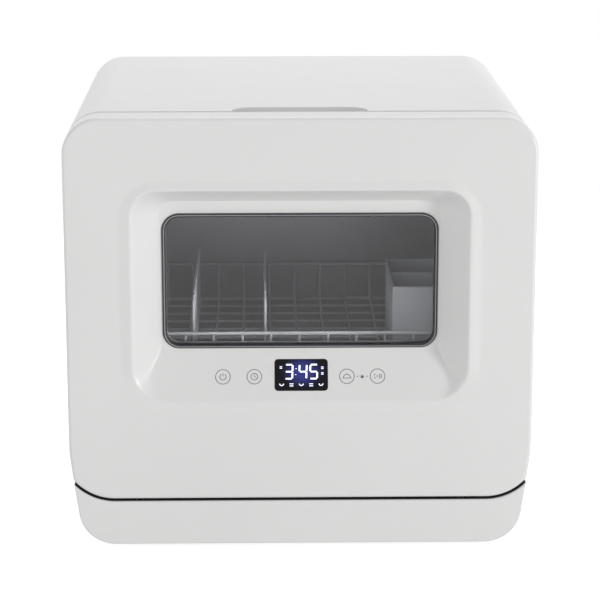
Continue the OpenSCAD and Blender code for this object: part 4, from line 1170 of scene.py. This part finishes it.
def softened(label, width):
    """A copy of a node whose facets are merged and whose edges are rounded."""
    mesh = NODES[label].data.copy()
    bm = bmesh.new()
    bm.from_mesh(mesh)
    bmesh.ops.remove_doubles(bm, verts=bm.verts, dist=1e-6)
    bmesh.ops.dissolve_limit(bm, angle_limit=math.radians(0.4), verts=bm.verts, edges=bm.edges)
    bm.to_mesh(mesh)
    bm.free()
    obj = add_piece(label + "_soft", mesh, BODY_OF[label], SLOT_OF[label])
    return rounded(obj, width, 2, 32)


soft = {label: softened(label, width) for label, width in SOFT.items()}
print("softened", len(soft), sum(len(o.data.polygons) for o in soft.values()))

# %% [markdown]
# ## Finishes
# Each finish is one material with a Principled shader. What several finishes share, such as the
# fine grain that a mould leaves or the lines of brushed steel, is a node group that gives only
# heights, masks and tones. The colour and the gloss stay in each material.

# %% Shared effects


def shader_group(name, inputs, outputs):
    tree = bpy.data.node_groups.new(name, "ShaderNodeTree")
    for label, value in inputs:
        socket = tree.interface.new_socket(label, in_out="INPUT", socket_type="NodeSocketFloat")
        socket.default_value = value
    for label in outputs:
        tree.interface.new_socket(label, in_out="OUTPUT", socket_type="NodeSocketFloat")
    return tree


def place_scaled(tree, scale=(1, 1, 1)):
    """Object coordinates, stretched by a Mapping node."""
    coords = node(tree, "ShaderNodeTexCoord", (-1000, 0))
    mapping = node(tree, "ShaderNodeMapping", (-800, 0), {"Scale": scale})
    connect(tree, (coords, "Object", mapping, "Vector"))
    return mapping


def effect_group(name, sizes):
    """A shared effect: its group with sizes as inputs, and the group's two end nodes."""
    tree = shader_group(name, sizes, ["Height", "Tone", "Sheen"])
    start = node(tree, "NodeGroupInput", (-1000, -300))
    return tree, start, node(tree, "NodeGroupOutput", (400, 0))


def mould_grain_group():
    """Fine dimples of a moulded surface, with a slow waviness and a soft uneven sheen."""
    sizes = [("Grain Scale", 1800), ("Wave Scale", 9)]
    tree, start, end = effect_group("mould_grain", sizes)
    place = place_scaled(tree)
    fine = node(tree, "ShaderNodeTexNoise", (-500, 200), {"Detail": 3})
    slow = node(tree, "ShaderNodeTexNoise", (-500, -100), {"Detail": 2})
    sheen = node(tree, "ShaderNodeTexNoise", (-500, -400),
                 {"Scale": 34, "Detail": 5, "Roughness": 0.62})
    connect(
        tree,
        (place, "Vector", fine, "Vector"), (place, "Vector", slow, "Vector"),
        (place, "Vector", sheen, "Vector"), (start, "Grain Scale", fine, "Scale"),
        (start, "Wave Scale", slow, "Scale"), (fine, "Fac", end, "Height"),
        (slow, "Fac", end, "Tone"), (sheen, "Fac", end, "Sheen"))
    return tree


def brush_group():
    """Lines of a brushed or rolled metal, long in one direction."""
    tree, start, end = effect_group("brush_lines", [("Line Scale", 900)])
    place = place_scaled(tree, (1, 0.03, 1))
    lines = node(tree, "ShaderNodeTexNoise", (-500, 200), {"Detail": 4})
    cloud = node(tree, "ShaderNodeTexNoise", (-500, -200), {"Scale": 14, "Detail": 4})
    coords = node(tree, "ShaderNodeTexCoord", (-800, -400))
    connect(
        tree,
        (place, "Vector", lines, "Vector"), (start, "Line Scale", lines, "Scale"),
        (coords, "Object", cloud, "Vector"), (lines, "Fac", end, "Height"),
        (cloud, "Fac", end, "Tone"), (lines, "Fac", end, "Sheen"))
    return tree


def mesh_group():
    """A woven or punched mesh: a grid of small round holes."""
    tree, start, end = effect_group("fine_mesh", [("Pitch Scale", 2600)])
    place = place_scaled(tree)
    parts = node(tree, "ShaderNodeSeparateXYZ", (-600, 0))
    connect(tree, (place, "Vector", parts, "Vector"))
    waves = []
    for k, axis in enumerate("XYZ"):
        scaled = node(tree, "ShaderNodeMath", (-400, 200 - 200 * k), operation="MULTIPLY")
        wave = node(tree, "ShaderNodeMath", (-200, 200 - 200 * k), operation="SINE")
        connect(tree, (parts, axis, scaled, 0), (start, "Pitch Scale", scaled, 1),
                (scaled, "Value", wave, 0))
        waves.append(wave)
    total = waves[0]
    for k, wave in enumerate(waves[1:]):
        added = node(tree, "ShaderNodeMath", (0, 100 - 200 * k), operation="ADD")
        connect(tree, (total, "Value", added, 0), (wave, "Value", added, 1))
        total = added
    span = {"From Min": 0.2, "From Max": 0.8, "To Min": 0.7, "To Max": 0.3}
    holes = node(tree, "ShaderNodeMapRange", (200, 0), span, interpolation_type="SMOOTHSTEP")
    connect(tree, (total, "Value", holes, "Value"),
            *[(holes, "Result", end, label) for label in ("Height", "Tone", "Sheen")])
    return tree


GRAIN, BRUSH, MESH = mould_grain_group(), brush_group(), mesh_group()
print("effects", [tree.name for tree in (GRAIN, BRUSH, MESH)])

# %% The material builder


def ramp_value(tree, source, output, low, high, place):
    """A node that maps the middle of a noise onto a range of values."""
    span = {"From Min": 0.3, "From Max": 0.7, "To Min": low, "To Max": high}
    spread = node(tree, "ShaderNodeMapRange", place, span)
    connect(tree, (source, output, spread, "Value"))
    return spread


def new_material(name):
    """A material and its node tree, in which a Principled shader already stands."""
    material = bpy.data.materials.new(name)
    material.use_nodes = True
    return material, material.node_tree


GLOSS_SPREAD, RELIEF_DEPTH = 0.12, 0.0004


def finish(name, colour, rough, metal=0.0, tone=0.03, bump=0.02, effect=GRAIN, scale=None,
           coat=0.0, ior=1.5):
    """A material whose colour, gloss and relief vary a little, as on the real surface."""
    material, tree = new_material(name)
    shader = tree.nodes["Principled BSDF"]
    group = node(tree, "ShaderNodeGroup", (-900, 0), node_tree=effect)
    if scale:
        group.inputs[0].default_value = scale
    darker = [c * (1 - tone) for c in colour] + [1]
    lighter = [min(1, c * (1 + tone)) for c in colour] + [1]
    mix = node(tree, "ShaderNodeMix", (-400, 200), {"A": darker, "B": lighter}, data_type="RGBA")
    shade_of = ramp_value(tree, group, "Tone", 0, 1, (-650, 200))
    low, high = rough * (1 - GLOSS_SPREAD), min(1, rough * (1 + GLOSS_SPREAD))
    gloss = ramp_value(tree, group, "Sheen", low, high, (-650, -100))
    sizes = {"Strength": bump, "Distance": RELIEF_DEPTH}
    relief = node(tree, "ShaderNodeBump", (-400, -300), sizes)
    connect(
        tree,
        (shade_of, "Result", mix, "Factor"), (mix, "Result", shader, "Base Color"),
        (gloss, "Result", shader, "Roughness"), (group, "Height", relief, "Height"),
        (relief, "Normal", shader, "Normal"))
    fixed = {"Metallic": metal, "Coat Weight": coat, "Coat Roughness": 0.12, "IOR": ior}
    set_inputs(shader, fixed)
    return material


# %% Plain finishes
FINISHES = {
    "white_shell": finish("white_shell", (0.79, 0.79, 0.785), 0.4, tone=0.008, bump=0.12),
    "white_gloss": finish("white_gloss", (0.79, 0.79, 0.785), 0.36, tone=0.008, bump=0.08),
    "grey_shell": finish("grey_shell", (0.62, 0.62, 0.62), 0.46, tone=0.02, bump=0.15),
    "grey_plastic": finish("grey_plastic", (0.44, 0.45, 0.46), 0.4, bump=0.1),
    "ivory_plastic": finish("ivory_plastic", (0.74, 0.72, 0.66), 0.42, bump=0.1),
    "dark_plastic": finish("dark_plastic", (0.035, 0.036, 0.04), 0.5, tone=0.15, bump=0.2),
    "frame_grey": finish("frame_grey", (0.036, 0.037, 0.04), 0.3, tone=0.06, bump=0.06),
    "display_black": finish("display_black", (0.003, 0.003, 0.005), 0.1, tone=0.2, bump=0.0,
                            ior=1.25),
    "rubber": finish("rubber", (0.02, 0.02, 0.021), 0.72, tone=0.2, bump=0.35, scale=1200),
    "tub_steel": finish("tub_steel", (0.5, 0.5, 0.51), 0.42, 1.0, 0.05, 0.06, BRUSH),
    "heater_steel": finish("heater_steel", (0.36, 0.33, 0.3), 0.34, 1.0, 0.16, 0.06, BRUSH),
    "motor_steel": finish("motor_steel", (0.32, 0.32, 0.33), 0.42, 1.0, 0.08, 0.12, BRUSH),
    "plated_steel": finish("plated_steel", (0.6, 0.6, 0.58), 0.26, 1.0, 0.06, 0.05, BRUSH),
    "coated_wire": finish("coated_wire", (0.72, 0.73, 0.74), 0.32, tone=0.03, bump=0.08, coat=0.3),
    "board": finish("board", (0.02, 0.13, 0.05), 0.35, tone=0.3, bump=0.1, scale=500),
    "foil": finish("foil", (0.55, 0.3, 0.06), 0.3, tone=0.12, bump=0.06),
}
print("finishes", len(FINISHES))

# %% [markdown]
# ### Glass, light and two tones
# The panes are clear glass, which darkens the chamber a little. Light reaches the rack through
# them because a shadow ray passes unbent. The display's figures give their own light and leave a
# faint blue glow in the black lens, and the control board carries dark parts on its green face.

# %% Glass


def glass_finish():
    """Clear glass. Light passes it unbent on its way to the chamber, so the rack is lit."""
    material, tree = new_material("glass")
    shader = tree.nodes["Principled BSDF"]
    fixed = {"Base Color": (0.93, 0.93, 0.94, 1), "Roughness": 0.02, "IOR": 1.3,
             "Transmission Weight": 1}
    set_inputs(shader, fixed)
    clear = node(tree, "ShaderNodeBsdfTransparent", (0, -300), {"Color": (0.9, 0.9, 0.91, 1)})
    path = node(tree, "ShaderNodeLightPath", (0, 300))
    mix = node(tree, "ShaderNodeMixShader", (300, 0))
    connect(
        tree,
        (path, "Is Shadow Ray", mix, "Fac"), (shader, "BSDF", mix, 1), (clear, "BSDF", mix, 2),
        (mix, "Shader", tree.nodes["Material Output"], "Surface"))
    return material


FINISHES["glass"] = glass_finish()
print("glass", FINISHES["glass"].name)

# %% Lit and two-toned finishes


def lit_finish(name, colour, strength):
    """A finish that gives its own light, for the display's figures."""
    material = finish(name, colour, 0.3, bump=0.0)
    shader = material.node_tree.nodes["Principled BSDF"]
    set_inputs(shader, {"Emission Color": (*colour, 1), "Emission Strength": strength})
    return material


def second_tone(material, axis, level, colour):
    """Another colour on what stands above a level, such as the parts on a board."""
    tree = material.node_tree
    shader = tree.nodes["Principled BSDF"]
    coords = node(tree, "ShaderNodeTexCoord", (-1300, 600))
    parts = node(tree, "ShaderNodeSeparateXYZ", (-1100, 600))
    above = node(tree, "ShaderNodeMath", (-900, 600), {1: level * MM}, operation="GREATER_THAN")
    tones = node(tree, "ShaderNodeMix", (-150, 400), {"B": (*colour, 1)}, data_type="RGBA")
    first = shader.inputs["Base Color"].links[0].from_node
    connect(
        tree,
        (coords, "Object", parts, "Vector"), (parts, axis, above, 0),
        (above, "Value", tones, "Factor"), (first, "Result", tones, "A"),
        (tones, "Result", shader, "Base Color"))


def glow_behind(material, centre, reach, colour):
    """Stray light of the figures in the dark lens: an oval round their middle, fading outwards."""
    tree = material.node_tree
    shader = tree.nodes["Principled BSDF"]
    coords = node(tree, "ShaderNodeTexCoord", (-1300, -700))
    sizes = {"Location": Vector(centre) * MM, "Scale": Vector(reach) * MM}
    oval = node(tree, "ShaderNodeMapping", (-1100, -700), sizes, vector_type="TEXTURE")
    far = node(tree, "ShaderNodeVectorMath", (-900, -700), operation="LENGTH")
    fade = node(tree, "ShaderNodeMapRange", (-700, -700), {"From Min": 1, "From Max": 0.25},
                interpolation_type="SMOOTHSTEP")
    tones = {"A": (0, 0, 0, 1), "B": (*colour, 1)}
    glow = node(tree, "ShaderNodeMix", (-400, -700), tones, data_type="RGBA")
    connect(
        tree,
        (coords, "Object", oval, "Vector"), (oval, "Vector", far, 0),
        (far, "Value", fade, "Value"), (fade, "Result", glow, "Factor"),
        (glow, "Result", shader, "Emission Color"))
    shader.inputs["Emission Strength"].default_value = 1


glow_reach, glow_blue, board_t = (21, 30, 15), (0.03, 0.037, 0.2), 1.9
glow_behind(FINISHES["display_black"], on_slope(1, figure_v), glow_reach, glow_blue)
FINISHES.update({
    "lit_figures": lit_finish("lit_figures", (0.9, 0.93, 1.0), 1.1),
    "lit_signs": lit_finish("lit_signs", (0.8, 0.84, 1.0), 0.75),
    "key_ink": finish("key_ink", (0.09, 0.09, 0.1), 0.5, tone=0.05),
    "main_board": finish("main_board", (0.02, 0.13, 0.05), 0.35, tone=0.3, bump=0.1, scale=500),
    "filter_mesh": finish("filter_mesh", (0.2, 0.2, 0.21), 0.4, tone=0.75, bump=0.3, effect=MESH),
    # pale grey of the painted highlight on the window ring's bead
    "bright_edge": finish("bright_edge", (0.34, 0.34, 0.35), 0.22, tone=0.05, bump=0.02),
})
board_top = box_mm("control_board")[0].y + board_t
second_tone(FINISHES["main_board"], "Y", board_top, (0.03, 0.03, 0.035))
LOOKS = {"display_figures": "lit_figures", "display_signs": "lit_signs", "key_prints": "key_ink",
         "filter_cup_soft": "filter_mesh", "control_board": "main_board",
         "window_ring_line": "bright_edge"}
print("finishes", len(FINISHES))

# %% [markdown]
# ## Putting it together
# Every piece takes its finish, rides on its body and, where it stands for a plainer solid of the
# frame, replaces it. The frame's other nodes keep their shape and get the same finishes.

# %% Finish, ride and replace
REPLACES = {
    "door_shell": ["door_outer_shell"], "casing_shell": ["outer_casing"],
    "base_front_shell": ["base_front"], "base_pan_shell": ["base_pan"],
    "window_ring": ["window_frame"], "display_glass": ["display_lens"],
    "rack_wires": ["rack_frame"], "rack_tine_rows": ["rack_tines"],
    "heater_tube": ["heating_element"], "feet": ["rubber_feet"],
    "case_screw_set": ["case_screws"], "door_screw_set": ["door_screws"],
}
REPLACES.update({obj.name: [label] for label, obj in soft.items()})


def set_finish(obj, material):
    """One material on every face."""
    obj.data.materials.clear()
    obj.data.materials.append(material)
    for polygon in obj.data.polygons:
        polygon.material_index = 0


for entry in frame["record"]["subparts"]:
    set_finish(NODES[entry["node"]], FINISHES[LOOKS.get(entry["node"], entry["material_slot"])])
pieces = [o for o in bpy.data.objects if "slot" in o.keys()]
for obj in pieces:
    set_finish(obj, FINISHES[LOOKS.get(obj.name, obj["slot"])])
    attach(obj, obj["body"])
    if obj.name in REPLACES:
        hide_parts(*REPLACES[obj.name])
print("pieces", len(pieces))

# %% [markdown]
# ## Floor, light and camera
# A pale floor in a bright even surround, with a low soft lamp on the right, a weaker one on the
# left and a large one high up behind. The floor and the surround turn plain white for rays from
# the camera, so the background is white by its colour and the object keeps its own level. The
# camera stands a little to the left and looks down by about fourteen degrees.

# %% Floor and surround


def seen_ray(tree, place, camera=True):
    """1 for a ray that shows its end: through glass, off a gloss and, if asked, from the camera."""
    x, y = place
    path = node(tree, "ShaderNodeLightPath", (x, y))
    two = node(tree, "ShaderNodeMath", (x + 200, y), operation="MAXIMUM")
    connect(tree, (path, "Is Transmission Ray", two, 0), (path, "Is Glossy Ray", two, 1))
    if not camera:
        return two
    three = node(tree, "ShaderNodeMath", (x + 350, y), operation="MAXIMUM")
    connect(tree, (two, "Value", three, 0), (path, "Is Camera Ray", three, 1))
    return three


floor_half_m, floor_tone, floor_glow, fade_near, fade_far = 3.2, 0.9, 0.72, 0.55, 1.7


def stage_floor():
    """A matte floor that glows a little for the camera and fades to white further out."""
    mesh = bpy.data.meshes.new("floor")
    half = floor_half_m
    corners = [(-half, -half, 0), (half, -half, 0), (half, half, 0), (-half, half, 0)]
    mesh.from_pydata(corners, [], [(0, 1, 2, 3)])
    obj = bpy.data.objects.new("floor", mesh)
    bpy.context.scene.collection.objects.link(obj)
    material, tree = new_material("floor")
    tree.nodes.remove(tree.nodes["Principled BSDF"])
    grey = {"Color": (floor_tone, floor_tone, floor_tone, 1)}
    matte = node(tree, "ShaderNodeBsdfDiffuse", (-200, 100), grey)
    glow = node(tree, "ShaderNodeEmission", (-200, -100))
    plain = node(tree, "ShaderNodeEmission", (0, -250))
    path = node(tree, "ShaderNodeLightPath", (-700, -100))
    lift = node(tree, "ShaderNodeMath", (-450, -100), {1: floor_glow}, operation="MULTIPLY")
    both = node(tree, "ShaderNodeAddShader", (0, 0))
    mirrored = node(tree, "ShaderNodeMixShader", (200, 0))
    coords = node(tree, "ShaderNodeTexCoord", (-1100, -500))
    far = node(tree, "ShaderNodeVectorMath", (-900, -500), operation="LENGTH")
    span = {"From Min": fade_near, "From Max": fade_far}
    fade = node(tree, "ShaderNodeMapRange", (-700, -500), span, interpolation_type="SMOOTHSTEP")
    seen = node(tree, "ShaderNodeMath", (-500, -500), operation="MULTIPLY")
    white = node(tree, "ShaderNodeMath", (-300, -500), operation="MAXIMUM")
    connect(
        tree,
        (path, "Is Camera Ray", lift, 0), (lift, "Value", glow, "Strength"),
        (matte, "BSDF", both, 0), (glow, "Emission", both, 1),
        (coords, "Object", far, 0), (far, "Value", fade, "Value"),
        (fade, "Result", seen, 0), (path, "Is Camera Ray", seen, 1),
        (seen, "Value", white, 0), (seen_ray(tree, (-1100, -300), False), "Value", white, 1),
        (white, "Value", mirrored, "Fac"), (both, "Shader", mirrored, 1),
        (plain, "Emission", mirrored, 2),
        (mirrored, "Shader", tree.nodes["Material Output"], "Surface"))
    mesh.materials.append(material)


def surround(strength):
    """A world that lights softly and shows plain white to the camera and in reflections."""
    world = bpy.data.worlds.new("surround")
    bpy.context.scene.world = world
    world.use_nodes = True
    tree = world.node_tree
    background = tree.nodes["Background"]
    background.inputs["Color"].default_value = (1, 1, 1, 1)
    level = node(tree, "ShaderNodeMapRange", (-300, 0), {"To Min": strength, "To Max": 1.0})
    seen = seen_ray(tree, (-900, 0))
    connect(tree, (seen, "Value", level, "Value"), (level, "Result", background, "Strength"))


stage_floor()
surround(0.5)
print("floor", 2 * floor_half_m, "m wide")

# %% Lamps


def softbox(name, place, target, size, power):
    """A square lamp of a size in metres and a power in watts, turned to its target."""
    data = bpy.data.lights.new(name, "AREA")
    data.shape = "SQUARE"
    data.size = size
    data.energy = power
    lamp = bpy.data.objects.new(name, data)
    lamp.location = place
    lamp.rotation_euler = (Vector(target) - Vector(place)).to_track_quat("-Z", "Y").to_euler()
    bpy.context.scene.collection.objects.link(lamp)


middle = (0, 0, 0.2)
softbox("key_right", (3.4, -2.4, 0.35), middle, 0.7, 68)
softbox("fill_left", (-2.6, -2.4, 0.45), middle, 0.9, 18)
softbox("top_rear", (0.2, 1.3, 2.2), middle, 1.4, 21)
print("lamps", len(bpy.data.lights))

# %% Camera
view_angle, look_down, turn_left = 15.16, 13.79, 1.07
camera_data = bpy.data.cameras.new("camera")
camera_data.angle = math.radians(view_angle)
camera_data.clip_end = 100
camera = bpy.data.objects.new("camera", camera_data)
camera.location = (-0.0379, -2.2178, 0.7299)
camera.rotation_euler = (math.radians(90 - look_down), 0, math.radians(-turn_left))
bpy.context.scene.collection.objects.link(camera)
bpy.context.scene.camera = camera
bpy.context.scene.view_settings.view_transform = "Standard"
print("camera at", tuple(round(c, 3) for c in camera.location))
